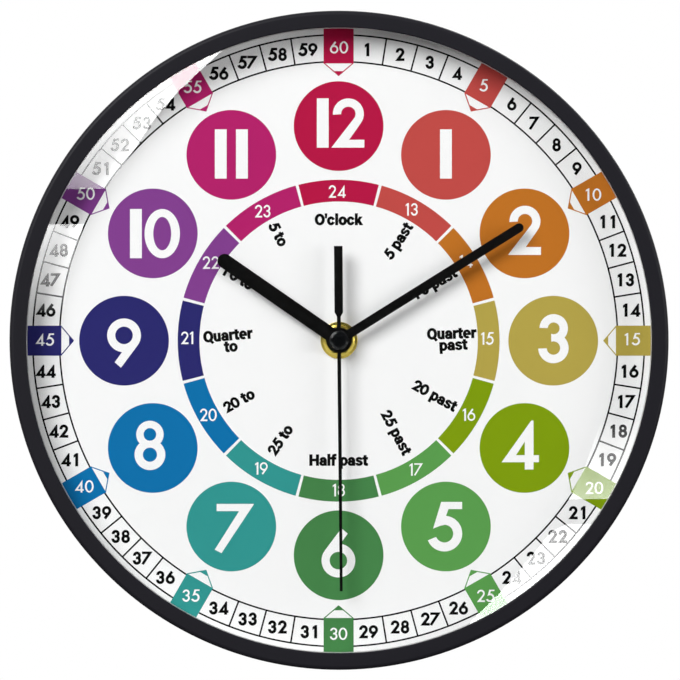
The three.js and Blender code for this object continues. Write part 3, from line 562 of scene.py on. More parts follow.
def case_shell():
    """The round case with its lip in front and its screw bosses behind."""
    lip_back = case.front - LIP_THICKNESS
    outer_edge = rounded(case.right, case.front, OUTER_ROUNDING, 0, 10)
    inner_edge = rounded(BEZEL_OPENING, case.front, INNER_ROUNDING, 90, 6)
    rim_outer = rounded(case.right, case.back, RIM_ROUNDING, -90, 4)
    rim_inner = rounded(CASE_INNER, case.back, RIM_ROUNDING, 180, 4)
    profile = [*rim_outer, *outer_edge, *inner_edge, (BEZEL_OPENING, lip_back)]
    profile += [(CASE_INNER, lip_back), *rim_inner]
    shell = lathe(profile, CASE_SIDES)
    foot = card.back
    bosses, pilots = [], []
    for x, y in screw_places():
        wall = math.degrees(math.atan2(y, x))
        web = rectangle(0, case.right - OVERLAP - SCREW_CIRCLE, -BOSS_RADIUS, BOSS_RADIUS)
        flat = region([circle(x, y, BOSS_RADIUS), turned(web, wall, x, y)])
        bosses.append(plate(flat, foot, lip_back + OVERLAP))
        hole = [(0, foot - OVERLAP), (PILOT_RADIUS, foot - OVERLAP), (PILOT_RADIUS, foot + PILOT_DEPTH)]
        pilots.append(lathe([*hole, (0, foot + PILOT_DEPTH + PILOT_POINT)], 24, x, y))
    shell = combine(shell, merged(bosses), "UNION")
    return combine(shell, merged(pilots), "DIFFERENCE")


piece("case_shell", case_shell(), moulded_black, stands_for="case_frame")

LENS_CHAMFER = 0.2
pane = lathe(chamfered_disc(0, lens.right, lens.back, lens.front, LENS_CHAMFER), CASE_SIDES)
piece("lens_pane", pane, glass, stands_for="lens")

RING_WALL = 1.35
RING_CHAMFER = 0.15


def ring_body():
    inner, edge = ring.right - RING_WALL, RING_CHAMFER
    low, high = ring.back, ring.front
    outside = chamfered_disc(inner + edge, ring.right, low, high, edge)
    return lathe([*outside, (inner, high - edge), (inner, low + edge)], CASE_SIDES)


piece("white_ring", ring_body(), white_plastic, stands_for="spacer_ring")

CARD_HOLE = 4.1
CARD_CHAMFER = 0.05
profile = chamfered_disc(CARD_HOLE, card.right, card.back, card.front, CARD_CHAMFER)
piece("dial_card", lathe(profile, CASE_SIDES), card_white, stands_for="dial")


# Numbers, drawn on a grid where they are 100 high. Each is (width, solid outlines, holes).

GRID = 100
FIGURES = {
    "0": (72, [circle(36, 50, 50, 44, 0.72)], [circle(36, 50, 34, 32, 0.535)]),
    "1": (31, [[(13, 0), (31, 0), (31, 100), (19, 100), (0, 86), (0, 70), (13, 79)]], []),
    "2": (67, [[
        *arc(34.5, 68.5, 31.5, 183, -38, 20), (36, 16), (67, 16), (67, 0), (0, 0),
        *arc(34.5, 68.5, 14.7, -38, 183, 20),
    ]], []),
    "3": (62, [
        sector(31.5, 71, 29, 12, 178, -90, 20), sector(31, 31, 31, 13.6, 90, -178, 20),
        rectangle(26.5, 34, 43, 60),
    ], [circle(31.5, 71, 12, 20), circle(31, 31, 13.6, 20)]),
    "4": (75.6, [[
        (59.8, 99), (62, 100), (64.6, 99), (64.6, 29.2), (75.6, 29.2), (75.6, 14.8), (64.6, 14.8),
        (64.6, 0), (46.9, 0), (46.9, 14.8), (0, 14.8),
    ]], [[(46.9, 56.9), (46.9, 29.2), (29.2, 29.2)]]),
    "5": (69, [sector(32.7, 35.6, 36.3, 18, -158, 112, 24), [
        (26.3, 100), (68.8, 100), (68.8, 85.4), (41, 85.4), (35.1, 68.5), (32, 53), (24.9, 51.7),
        (9.8, 45.9),
    ]], []),
    "6": (68.6, [
        circle(34.3, 34.3, 34.3, 40), [(6.8, 54.8), (40.5, 100), (53.3, 89), (36, 65), (30, 45)],
    ], [circle(34.3, 34.3, 17.8, 28)]),
    "7": (79.9, [[(3.9, 100), (3.9, 85.3), (49.5, 85.3), (0, 6.9), (13.7, 0), (79.9, 100)]], []),
    "8": (62.6, [
        circle(31.3, 72.2, 27.8, 36), circle(31.3, 31, 31.3, 36),
    ], [circle(31.3, 72.2, 12.9, 24), circle(31.3, 31, 14.4, 24)]),
}
PLAIN_ONE = (24, [rectangle(0, 24, 0, GRID)], [])


def upside_down(width, solids, holes):
    over = [[turned(loop, 180, width, GRID) for loop in loops] for loops in (solids, holes)]
    return width, *over


FIGURES["9"] = upside_down(*FIGURES["6"])
FIGURE_GAP = 5.5
BAR_GAP = 19


def number(text, x, y, height, bars=False, narrow=1, pitch=0):
    """The figures of a number, centred on a point of the dial, as a list of flat regions.

    Where bars is set, a one is a plain bar. Figures are at least pitch apart from middle to middle.
    """
    drawn = [PLAIN_ONE if bars and digit == "1" else FIGURES[digit] for digit in text]
    gaps = [max(FIGURE_GAP, pitch - (a[0] + b[0]) / 2) for a, b in zip(drawn, drawn[1:])]
    if bars and text == "11":
        gaps = [BAR_GAP]
    width = sum(d[0] for d in drawn) + sum(gaps)
    up = height / GRID
    across = narrow * up
    start = x - width * across / 2
    flats = []
    for (advance, solids, holes), after in zip(drawn, [*gaps, 0]):
        points, faces = region(solids, holes)
        flats.append(([(start + u * across, y + (v - GRID / 2) * up) for u, v in points], faces))
        start += (advance + after) * across
    return flats


# What is printed on the card, in thin layers of ink. Shifts are (to the right, up), from one
# o'clock on, and a pitch is in hundredths of a number's height.

INK = 0.04
ink_low = card.front
ink_mid = card.front + INK
ink_top = card.front + INK * 2

HOUR_DEGREES = 30
HOUR_COLOURS = {
    12: "b51744", 1: "c14c47", 2: "c07225", 3: "b5a34b", 4: "7f9c0d", 5: "5b9d4f",
    6: "46834a", 7: "339691", 8: "0e70ab", 9: "2b2a6c", 10: "82408e", 11: "b32269",
}
PRINT_SHIFT_X = -0.2
PRINT_SHIFT_Y = -0.18

DISC_CIRCLE = 97.6
DISC_RADIUS = 20.4
DISC_NUMBER_HEIGHT = 22.4
DISC_NUMBER_SHIFTS = [
    (0, 0.4), (0, 1.4), (0.1, 0.9), (-1.9, 1.4), (-0.3, 0), (-0.1, 1.1), (1.4, -0.9), (-1.3, 1.2),
    (0, -1.1), (1, -0.1), (0, 0.4), (0.9, 1.4),
]

BAND_INNER = 63.3
BAND_OUTER = 73.2
BAND_GAP_DEGREES = 1.05
BAND_NUMBER_HEIGHT = 5.9
BAND_NUMBER_NARROW = 0.93
BAND_NUMBER_PITCH = 58
BAND_NUMBER_SHIFTS = [
    (-0.9, 0.6), (-1.1, 2), (-0.6, 1), (0.2, 0.5), (1.2, 0.5), (0.1, 0.3), (-1, 1), (-0.2, 0.4),
    (-0.7, 1.3), (0.9, 1.4), (-0.5, -0.2), (-0.7, -0.4),
]

FLAG_HALF_WIDTH = 6.83
FLAG_FOOT = 126.1
FLAG_TIP = 120.3
FLAG_LEAD = 122.6
FLAG_END = 142.3
FLAG_LINE = 0.75
FLAG_NUMBER_CIRCLE = 133.3
FLAG_NUMBER_HEIGHT = 5.8
FLAG_NUMBER_PITCH = 73
FLAG_NUMBER_SHIFTS = [
    (-0.7, 0.7), (0.5, -0.2), (0.3, 0.7), (0.8, -0.3), (0.2, -0.6), (0, 0), (-0.5, -0.5), (-0.3, 0.4),
    (-0.4, 0.5), (0.4, 0.2), (0.2, 0), (0.2, 0.1),
]
SMALL_WHITE_SPREAD = -0.1

# The minute numbers stand on an oval, and some a little to the right (or, below nought, the left)
# of their place on it
TRACK_OUTER = 139.1
TRACK_INNER = 126.9
TRACK_LINE = 0.75
MINUTE_DEGREES = 6
MINUTE_HIGH = 133.1
MINUTE_WIDE = 134
MINUTE_NUMBER_HEIGHT = 5.7
MINUTE_NUMBER_PITCH = 80
MINUTE_SPREAD = 0.17
MINUTE_SHIFTS = {
    1: -1.1, 4: -0.7, 7: -0.7, 8: -0.45, 12: -0.45, 13: -0.45, 16: -0.7, 27: 0.4, 29: -0.45, 31: 0.45,
    37: 0.45, 38: 0.45, 39: 0.7,
}


def printed(points):
    return [(x * print_scale + PRINT_SHIFT_X, y * print_scale + PRINT_SHIFT_Y) for x, y in points]


def ink(name, flats, look, low=ink_low, high=ink_mid):
    """One piece of ink from some flat regions, in the first layer on the card as a rule."""
    body = bmesh.new()
    for points, faces in flats:
        slab(body, (printed(points), faces), low, high)
    piece(name, body, look)


def hour_angle(hour):
    return hour % 12 * HOUR_DEGREES


def number_place(radius, hour, shifts):
    x, y = clock_place(radius, hour_angle(hour))
    aside, up = shifts[hour - 1]
    return x + aside, y + up


def flag(hour):
    """A pencil that points inwards, with its white cone left open."""
    half = FLAG_HALF_WIDTH
    outline = [
        (-half, FLAG_END), (half, FLAG_END), (half, FLAG_FOOT), (0, FLAG_TIP), (-half, FLAG_FOOT),
    ]
    lead = half * (FLAG_LEAD - FLAG_TIP) / (FLAG_FOOT - FLAG_TIP) - FLAG_LINE
    side = half - FLAG_LINE
    cone = [(-side, FLAG_FOOT), (side, FLAG_FOOT), (lead, FLAG_LEAD), (-lead, FLAG_LEAD)]
    turn = -hour_angle(hour)
    return region([turned(outline, turn)], [turned(cone, turn)])


def print_hours():
    numbers = []
    for hour, code in HOUR_COLOURS.items():
        look = finish(f"ink_{hour}", linear(code), mottle=0.02, **DRY_INK)
        x, y = clock_place(DISC_CIRCLE, hour_angle(hour))
        disc = region([circle(x, y, DISC_RADIUS, 96)])
        middle = 90 - hour_angle(hour)
        half = (HOUR_DEGREES - BAND_GAP_DEGREES) / 2
        band = region([sector(0, 0, BAND_OUTER, BAND_INNER, middle - half, middle + half, 24)])
        ink(f"hour_disc_{hour}", [disc], look)
        ink(f"band_{hour}", [band], look)
        ink(f"flag_{hour * 5}", [flag(hour)], look)
        place = number_place(DISC_CIRCLE, hour, DISC_NUMBER_SHIFTS)
        numbers += number(str(hour), *place, DISC_NUMBER_HEIGHT, bars=True)
    ink("hour_numbers", numbers, print_white, ink_mid, ink_top)


def print_white_numbers():
    flats = []
    for hour in HOUR_COLOURS:
        place = number_place((BAND_INNER + BAND_OUTER) / 2, hour, BAND_NUMBER_SHIFTS)
        style = {"narrow": BAND_NUMBER_NARROW, "pitch": BAND_NUMBER_PITCH}
        flats += number(str(hour + 12), *place, BAND_NUMBER_HEIGHT, **style)
        place = number_place(FLAG_NUMBER_CIRCLE, hour, FLAG_NUMBER_SHIFTS)
        flats += number(str(hour * 5), *place, FLAG_NUMBER_HEIGHT, pitch=FLAG_NUMBER_PITCH)
    thinned = [spread_edges(flat, SMALL_WHITE_SPREAD) for flat in flats]
    ink("small_white_numbers", thinned, print_white, ink_mid, ink_top)


def print_minutes():
    numbers = []
    for minute in range(1, 60):
        if minute % 5:
            across, up = clock_place(1, MINUTE_DEGREES * minute)
            x = across * MINUTE_WIDE + MINUTE_SHIFTS.get(minute, 0)
            y = up * MINUTE_HIGH
            drawn = number(str(minute), x, y, MINUTE_NUMBER_HEIGHT, pitch=MINUTE_NUMBER_PITCH)
            numbers += [spread_edges(flat, MINUTE_SPREAD) for flat in drawn]
    ink("minute_numbers", numbers, print_black)


def print_track():
    """The two rings of the minute track, and the lines between its numbers."""
    half = TRACK_LINE / 2
    flats = []
    for radius in (TRACK_INNER, TRACK_OUTER):
        for start in (0, 180):
            flats.append(region([sector(0, 0, radius + half, radius - half, start, start + 180, 120)]))
    bar = rectangle(-half, half, TRACK_INNER + half, TRACK_OUTER - half)
    for minute in range(60):
        if minute % 5 in (1, 2, 3):
            flats.append(region([turned(bar, -MINUTE_DEGREES * (minute + 0.5))]))
    ink("minute_track", flats, print_black, ink_low, ink_low + INK / 2)


print_hours()
print_white_numbers()
print_minutes()
print_track()


# Letters, drawn on a grid where capitals are 100 high. Each is (advance, solid outlines, holes).

LOW_HEIGHT = 74.3
TALL_HEIGHT = 105
STEM = 19.5


def stem(left, foot=0, top=LOW_HEIGHT):
    """An upright stroke of a small letter."""
    return rectangle(left, left + STEM, foot, top)


def oval(x, y, half_width, half_height):
    return circle(x, y, half_height, 28, half_width / half_height)


def bow(x, y, outer, inner, start, end):
    """Part of an oval ring, with the half width and half height of its two edges."""
    steps = 18
    edge = arc(x, y, outer[1], start, end, steps, outer[0] / outer[1])
    return edge + arc(x, y, inner[1], end, start, steps, inner[0] / inner[1])


LETTERS = {
    "a": (73, [
        bow(36, 45, (31, 30.5), (11.5, 14.5), 0, 168), stem(47.5, 0, 46), rectangle(32, 50, 32, 44.5),
        oval(31, 21.5, 27, 23),
    ], [oval(33, 20.5, 10.5, 9)]),
    "c": (74, [bow(38, 37.2, (34.5, 38.5), (15, 22.5), 28, 332)], []),
    "e": (76, [rectangle(14, 70, 31, 43.5), bow(38, 37.5, (34.5, 38.5), (15, 23.5), -4, 300)], []),
    "f": (50, [[
        (14, 0), (33.5, 0), (33.5, 82), (37, 89), (51, 90), (51, 105), (38, 106), (22, 100), (14, 86),
    ], rectangle(1, 49, 60, LOW_HEIGHT)], []),
    "k": (76, [
        stem(7.5, 0, TALL_HEIGHT), [(20, 24), (20, 40), (46, LOW_HEIGHT), (71, LOW_HEIGHT), (36, 33)],
        [(30, 42), (44, 52), (75, 0), (51, 0), (28, 36)],
    ], []),
    "l": (36, [stem(8, 0, TALL_HEIGHT)], []),
    "o": (79, [oval(39.5, 37.2, 36, 38.5)], [oval(39.5, 37.2, 16.3, 22.5)]),
    "p": (79, [stem(7.5, -28), oval(42, 37, 33, 38.5)], [oval(42, 37, 14.5, 23)]),
    "r": (52, [stem(7.5), [
        (20, 34), (27, 48), (36, 55), (47, 56.5), (50, 56), (50, 75), (43, 75.6), (33, 71), (20, 56),
    ]], []),
    "s": (71, [
        bow(35.5, 54, (28.5, 21.5), (10.5, 7.5), 12, 262),
        bow(35.5, 21, (31, 22.5), (12, 8.5), -172, 84),
    ], []),
    "t": (48, [[
        (12, 93), (31.5, 93), (31.5, 24), (35, 17), (45, 16), (45, 0.5), (36, -1.5), (22, 1), (13.5, 9),
        (12, 20),
    ], rectangle(0.5, 45, 60, LOW_HEIGHT)], []),
    "u": (75, [stem(7, 26), stem(47.5), bow(36.5, 27, (29.5, 28.5), (10, 12), 180, 360)], []),
    "H": (99.5, [
        rectangle(8, 28.5, 0, 100), rectangle(71, 91.5, 0, 100), rectangle(27, 72, 43, 59),
    ], []),
    "O": (96, [oval(48, 50, 44, 51.5)], [oval(48, 50, 23.5, 34.5)]),
    "Q": (96, [
        oval(48, 50, 44, 51.5), [(52, 16), (63, 27), (96, -8), (82, -19)],
    ], [oval(48, 50, 23.5, 34.5)]),
    "'": (22, [[(4, 104), (19, 104), (16, 66), (7, 66)]], []),
    " ": (34, [], []),
}

WORD_FIGURE_WIDE = 1.06
AFTER_WORD_ONE = 36


def figure(digit):
    """A figure of the numbers, widened, with the room that it has on its sides in a word."""
    width, solids, holes = FIGURES[digit]
    moved = []
    for loops in (solids, holes):
        moved.append([[(FIGURE_GAP / 2 + WORD_FIGURE_WIDE * u, v) for u, v in loop] for loop in loops])
    after = AFTER_WORD_ONE if digit == "1" else 0
    return width * WORD_FIGURE_WIDE + FIGURE_GAP + after, *moved


# Words for the time, each as (text, x, y, turn in degrees)

WORDS = [
    ("O'clock", 0, 55.1, 0),
    ("5 past", 27, 45.4, 57),
    ("10 past", 43.6, 26.1, 30),
    ("Quarter", 51.4, 3.4, 2),
    ("past", 52.1, -1.8, 3),
    ("20 past", 43.8, -24.9, -29),
    ("25 past", 26.3, -41.7, -62),
    ("Half past", -0.1, -54.3, 0),
    ("25 to", -26.6, -45.1, 56),
    ("20 to", -45.4, -27.2, 29),
    ("Quarter", -50.4, 2.6, 5),
    ("to", -49, -2.5, 4),
    ("10 to", -45.6, 28.7, -30),
    ("5 to", -27.4, 48.5, -62),
]
WORD_HEIGHT = 4.75
WORD_SPREAD = 0.23


def word(words, x, y, turn):
    """The letters of a word or two, round the middle of their height, as a list of flat regions."""
    drawn = [figure(letter) if letter.isdigit() else LETTERS[letter] for letter in words]
    start = -sum(width for width, _, _ in drawn) / 2
    flats = []
    for width, solids, holes in drawn:
        if solids:
            points, faces = region(solids, holes)
            level = [((start + u) / GRID, v / GRID - 0.5) for u, v in points]
            flats.append(spread_edges((turned(level, turn, x, y, WORD_HEIGHT), faces), WORD_SPREAD))
        start += width
    return flats


time_words = [flat for entry in WORDS for flat in word(*entry)]
ink("time_words", time_words, print_black)


# Washer, nut and hands

washer = extent("dial_washer")
nut = extent("dial_nut")
second = extent("second_hand")
cap = extent("second_hand_cap")

WASHER_HOLE = 4.2
WASHER_THICKNESS = 0.4
WASHER_CHAMFER = 0.15
WASHER_ROUNDING = 0.2
WASHER_DOME = 7.2
DOME_ROUNDING = 3
DOME_FOOT = [(0.3, 0), (0.05, 0.03)]  # outwards from the dome, and up


def washer_body():
    """A flat washer that rises in a low dome round its hole."""
    step, edge = washer.back + WASHER_THICKNESS, WASHER_CHAMFER
    rim = [(washer.right - edge, washer.back), (washer.right, washer.back + edge)]
    rim += rounded(washer.right, step, WASHER_ROUNDING, 0, 4)
    slope = math.degrees(math.acos(1 - (washer.front - step) / DOME_ROUNDING))
    middle = WASHER_DOME - DOME_ROUNDING * math.sin(math.radians(slope))
    dome = arc(middle, washer.front - DOME_ROUNDING, DOME_ROUNDING, 90 - slope, 90, 8)[1:]
    foot = [(WASHER_DOME + out, step + up) for out, up in DOME_FOOT]
    inner = [(WASHER_HOLE + edge, washer.front), (WASHER_HOLE, washer.front - edge)]
    return lathe([*rim, *foot, *dome, *inner, (WASHER_HOLE, washer.back)], 128)


piece("brass_washer", washer_body(), brass, stands_for="dial_washer")

NUT_CHAMFER = 0.5
NUT_CORNER_CUT = 0.05
NUT_MARGIN = 0.01


def nut_body():
    """A hexagon nut that stands on a flat side, with its corners turned off."""
    corner = nut.top / math.cos(math.radians(30))
    hexagon = circle(0, 0, corner, 6)
    body = plate(region([hexagon], [circle(0, 0, CARD_HOLE, 48)]), nut.back, nut.front)
    low, high = nut.back - NUT_MARGIN, nut.front + NUT_MARGIN
    cone = chamfered_disc(0, corner + NUT_CORNER_CUT, low, high, NUT_CHAMFER)
    return combine(body, lathe(cone), "INTERSECT")


piece("brass_nut", nut_body(), brass, stands_for="dial_nut")

HAND_THICKNESS = 0.5
HAND_ROUNDING = 0.1
COLLAR_WALL = 0.6

# Each as (length, width, radius of the hub, radius of the bore, degrees clockwise from the top)
FLAT_HANDS = {
    "hour": (66.8, 6.6, 5.8, 2.6, 304.7),
    "minute": (98.9, 4.2, 4.4, 1.7, 58),
}


def flat_hand(where, length, width, hub, bore, angle):
    """A flat hand with a round tip and a collar under its hub."""
    half = width / 2
    blade = [(-half, 0), (half, 0), *arc(0, length - half, half, 0, 180, 20)]
    flat = region([turned(blade, -angle), circle(0, 0, hub, 64)], [circle(0, 0, bore, 40)])
    low = where.front - HAND_THICKNESS
    body = plate(flat, low, where.front, HAND_ROUNDING)
    collar = rectangle(bore, bore + COLLAR_WALL, where.back, low)
    return merged([body, lathe(collar, 40)])


for name, sizes in FLAT_HANDS.items():
    body = flat_hand(extent(f"{name}_hand"), *sizes)
    piece(f"{name}_blade", body, hand_black, name, f"{name}_hand")

SECOND_LENGTH = 114.4
SECOND_ROOT_WIDTH = 1.8
SECOND_TIP_WIDTH = 1.3
SECOND_HUB = 4.7
SECOND_BORE = 0.6
SECOND_ROUNDING = 0.08
SECOND_ANGLE = 179.5
TAIL_NECK_WIDTH = 1.8
TAIL_NECK_LENGTH = 10.9
TAIL_SHOULDER = 1.8
TAIL_WIDTH = 3.9
TAIL_LENGTH = 43


def second_body():
    """A tapered needle with a hub and a wide tail on a thin neck."""
    root, tip = SECOND_ROOT_WIDTH / 2, SECOND_TIP_WIDTH / 2
    neck, wide = TAIL_NECK_WIDTH / 2, TAIL_WIDTH / 2
    shoulder = TAIL_NECK_LENGTH + TAIL_SHOULDER
    needle = [(-root, 0), (root, 0), (tip, SECOND_LENGTH), (-tip, SECOND_LENGTH)]
    tail = [
        (neck, 0), (-neck, 0), (-neck, -TAIL_NECK_LENGTH), (-wide, -shoulder), (-wide, -TAIL_LENGTH),
        (wide, -TAIL_LENGTH), (wide, -shoulder), (neck, -TAIL_NECK_LENGTH),
    ]
    solids = [turned(needle, -SECOND_ANGLE), turned(tail, -SECOND_ANGLE), circle(0, 0, SECOND_HUB, 64)]
    flat = region(solids, [circle(0, 0, SECOND_BORE, 24)])
    return plate(flat, second.back, second.front, SECOND_ROUNDING)


piece("second_needle", second_body(), hand_black, "second", "second_hand")

CAP_STEP_RADIUS = 3.75
CAP_STEP = 0.14
CAP_SLOPE = 0.48
CAP_ROUNDING = 0.35


def cap_body():
    """A low round cap with a raised middle."""
    ledge = cap.front - CAP_STEP
    side = rounded(cap.right, ledge, CAP_ROUNDING, 0, 10)
    step = [(CAP_STEP_RADIUS, ledge), (CAP_STEP_RADIUS - CAP_SLOPE, cap.front)]
    profile = [(0, cap.back), (cap.right, cap.back), *side, *step]
    return lathe([*profile, (0, cap.front)])


piece("second_cap", cap_body(), cap_black, "second", "second_hand_cap", smooth=15)


# Back: tray, screws, movement, knob and battery

RIB_HEIGHT = 3
RIB_WIDTH = 1.5
RIB_OVERLAP = 0.2
RING_RIB = 139
POCKET_HALF = 28.4
TRAY_FIT = 0.02
TRAY_CHAMFER = 0.3
SCREW_HOLE = 1.15


def tray_body():
    """A flat tray with a ring rib, six straight ribs, a square pocket and the screws' holes."""
    floor_back = tray.back + RIB_HEIGHT
    edge = CASE_INNER - TRAY_FIT
    floor = lathe(chamfered_disc(CARD_HOLE, edge, floor_back, tray.front, TRAY_CHAMFER), CASE_SIDES)
    outer = POCKET_HALF + RIB_WIDTH
    half = RIB_WIDTH / 2
    solids = [sector(0, 0, RING_RIB + RIB_WIDTH, RING_RIB, s, s + 180, 96) for s in (0, 180)]
    for turn in (0, 90, 180, 270):
        solids.append(turned(rectangle(-outer, outer, POCKET_HALF, outer), turn))
    for i in range(6):
        turn = math.radians(60 * i)
        start = (POCKET_HALF + half) / max(abs(math.cos(turn)), abs(math.sin(turn)))
        solids.append(turned(rectangle(start, RING_RIB + half, -half, half), 60 * i))
    ribs = plate(region(solids), tray.back, floor_back + RIB_OVERLAP)
    body = combine(floor, ribs, "UNION")
    hole = rectangle(0, SCREW_HOLE, tray.back, tray.front + OVERLAP)
    holes = [lathe(hole, 32, x, y) for x, y in screw_places()]
    return combine(body, merged(holes), "DIFFERENCE")


piece("tray_with_ribs", tray_body(), tray_black, stands_for="back_tray")

SCREW_HEAD_HEIGHT = 1.4
SCREW_CROWN = 0.6
SCREW_RADIUS = 0.95
SCREW_POINT = 1.5
SCREW_TIP_RADIUS = 0.2
CROSS_LENGTH = 2.2
CROSS_WIDTH = 0.5
CROSS_DEPTH = 0.7
CROSS_TURN = 17
CROSS_TURN_STEP = 40


def screw_body(x, y, where, turn):
    """A screw with a rounded head behind, a cross slot and a blunt point."""
    head_radius = (where.right - where.left) / 2
    under = where.back + SCREW_HEAD_HEIGHT
    tip = where.front
    crown = rounded(head_radius, where.back, SCREW_CROWN, 270, 6)
    shank = [(head_radius, under), (SCREW_RADIUS, under), (SCREW_RADIUS, tip - SCREW_POINT)]
    profile = [(0, where.back), *crown, *shank, (SCREW_TIP_RADIUS, tip), (0, tip)]
    body = lathe(profile, 48, x, y)
    half, wide = CROSS_LENGTH / 2, CROSS_WIDTH / 2
    bars = [rectangle(-half, half, -wide, wide), rectangle(-wide, wide, -half, half)]
    cross = region([turned(bar, turn, x, y) for bar in bars])
    tool = plate(cross, where.back - OVERLAP, where.back + CROSS_DEPTH)
    return combine(body, tool, "DIFFERENCE")


for i in range(SCREWS):
    node_name = f"case_screw_{i + 1}"
    where = extent(node_name)
    x, y = (where.left + where.right) / 2, (where.foot + where.top) / 2
    body = screw_body(x, y, where, CROSS_TURN + CROSS_TURN_STEP * i)
    piece(f"screw_{i + 1}", body, zinc, stands_for=node_name)

# Pieces that have a CAD node's own shape are in place already
IN_PLACE = Matrix.Identity(4)
SAME_POINT = 1e-7
REFINED_SHARP = 40


def refined(node, rounding, shortest, highest):
    """A CAD node's own shape, with its long sharp edges rounded where they are low enough."""
    body = bmesh.new()
    body.from_mesh(nodes[node].data)
    bmesh.ops.remove_doubles(body, verts=body.verts, dist=SAME_POINT)
    join_flat_faces(body)
    round_edges(body, rounding * MM, REFINED_SHARP, shortest * MM, middle_z + highest * MM)
    return body


# The shell's edges stay sharp from this height up, where its hanging loop stands
LOOP_FOOT = 27

# Each as (CAD node, body it rides on, how much edges are rounded, shortest edge, and up to where)
REFINED = {
    "movement_shell": ("movement_case", "housing", 0.2, 4, LOOP_FOOT),
    "movement_lid": ("movement_cover", "housing", 0.15, 4, math.inf),
    "knob": ("setting_knob", "setting", 0.12, 0.5, math.inf),
}
for name, (node_name, rides, *edges) in REFINED.items():
    body = refined(node_name, *edges)
    piece(name, body, shell_black, rides, node_name, IN_PLACE)

cell = extent("battery")
shell = extent("movement_case")
MARK_SIZE = 1.2
MARK_LINE = 0.35
MARK_HEIGHT = 0.2
MARK_INSET = 3


def bay_marks():
    """The plus and minus that are moulded on the shell under the battery's two ends."""
    half, line = MARK_SIZE / 2, MARK_LINE / 2
    along = rectangle(-half, half, -line, line)
    y = (shell.foot + cell.foot) / 2
    plus = region([turned(along, turn, cell.right - MARK_INSET, y) for turn in (0, 90)])
    minus = region([turned(along, 0, cell.left + MARK_INSET, y)])
    body = plate(plus, shell.back - MARK_HEIGHT, shell.back)
    return slab(body, minus, shell.back - MARK_HEIGHT, shell.back)


piece("bay_marks", bay_marks(), shell_black)

NUB_RADIUS = 2.7
NUB_LENGTH = 1.2
NUB_ROUNDING = 0.4
NUB_FOOT = 0.3
DISH_DEPTH = 0.2
DISH_EDGES = (2, 1.6)
CELL_FOOT_ROUNDING = 0.5
SHOULDER_ROUNDING = 0.9
BARE_END = 0.9
BARE_SHOULDER = 0.7
COPPER_LENGTH = 12

can_colour = (0.6, 0.6, 0.62)
cell_bands = [
    (cell.left * MM, can_colour, 1),
    ((cell.left + BARE_END) * MM, (0.02, 0.03, 0.05), 0),
    ((cell.right - COPPER_LENGTH) * MM, (0.5, 0.27, 0.09), 1),
    ((cell.right - NUB_LENGTH - BARE_SHOULDER) * MM, can_colour, 1),
]


def cell_body():
    """A round cell that lies along x, with a dished end on the left and a nub on the right."""
    radius = (cell.top - cell.foot) / 2
    y, z = (cell.foot + cell.top) / 2, (cell.back + cell.front) / 2
    shoulder = cell.right - NUB_LENGTH
    dish = cell.left + DISH_DEPTH
    profile = [(0, dish), (radius - DISH_EDGES[0], dish), (radius - DISH_EDGES[1], cell.left)]
    profile += rounded(radius, cell.left, CELL_FOOT_ROUNDING, 270, 5)
    profile += [*rounded(radius, shoulder, SHOULDER_ROUNDING, 0, 6), (NUB_RADIUS + NUB_FOOT, shoulder)]
    profile += [*rounded(NUB_RADIUS, cell.right, NUB_ROUNDING, 0, 4), (0, cell.right)]
    body = lathe(profile, 64)
    body.transform(Matrix(((0, 0, 1, 0), (1, 0, 0, y), (0, 1, 0, z), (0, 0, 0, 1))))
    return body


cell_wrap = wrap_with_bands("cell_wrap", cell_bands)
piece("cell", cell_body(), cell_wrap, "battery", "battery")


# Stage: floor, what the glass reflects, world, lamps and camera

FLOOR_DROP = 0.25
FLOOR_HALF = 5

# Each lamp as (direction from the clock, size in metres, power in watts)
LAMP_DISTANCE = 4
LAMPS = {
    "key": ((-0.62, -1, 0.62), 2.4, 160),
    "fill": ((1.3, -1, 0.05), 2.5, 80),
    "back": ((0.7, 1, 0.8), 2.5, 150),
}
SKY_LEVEL = 0.09
FLOOR_COLOUR = grey(0.9)
FLOOR_BOUNCE = grey(0.15)
FLOOR_FADE_START = 0.9
FLOOR_FADE_END = 1.8

# Light that has gone through the lens once has passed two faces, and four on its way back
THROUGH_LENS = 2.5

# Light before its first diffuse bounce has a diffuse depth of nought
FIRST_BOUNCE = 0.5

# The two ends of a glow that gives no light
NO_LIGHT = [(0, 0, 0), (0, 1, 1)]
CURTAIN_DISTANCE = 6
CURTAIN_HEIGHT = 8
CURTAIN_REACH = 60

# Window panes that the lens mirrors, each with its corners as they show on the lens, in millimetres
# from the middle of the picture, and how strong it is at two of them
PANE_DISTANCE = 3000
PANES = {
    "pane_upper_left": (
        [(-45, 141), (-53.9, 131.5), (-63.6, 122.6), (-73.7, 113), (-83.4, 102), (-94.3, 85.7),
         (-106.9, 68.8), (-150, 68.8), (-150, 141)],
        (3, -125, 66), (14.5, -80, 120),
    ),
    "pane_left": (
        [(-150, 52.7), (-116.5, 52.7), (-121, 40), (-124, 28), (-125.5, 14), (-125.5, 8), (-150, 8)],
        (8, -120, 53), (0, -120, 12),
    ),
    "pane_right": (
        [(104.2, -72.4), (150, -72.4), (150, -36), (119, -36), (111.6, -57.7)],
        (6.5, 120, -72.4), (0, 120, -36),
    ),
    "pane_lower_right": (
        [(150, -83.9), (103, -83.9), (96, -87.3), (92.1, -92.5), (88.4, -97), (83.2, -103.4),
         (78.1, -109.2), (73.2, -114.7), (61, -126.8), (40, -150), (150, -150)],
        (5.5, 105, -84), (13, 78, -118),
    ),
}


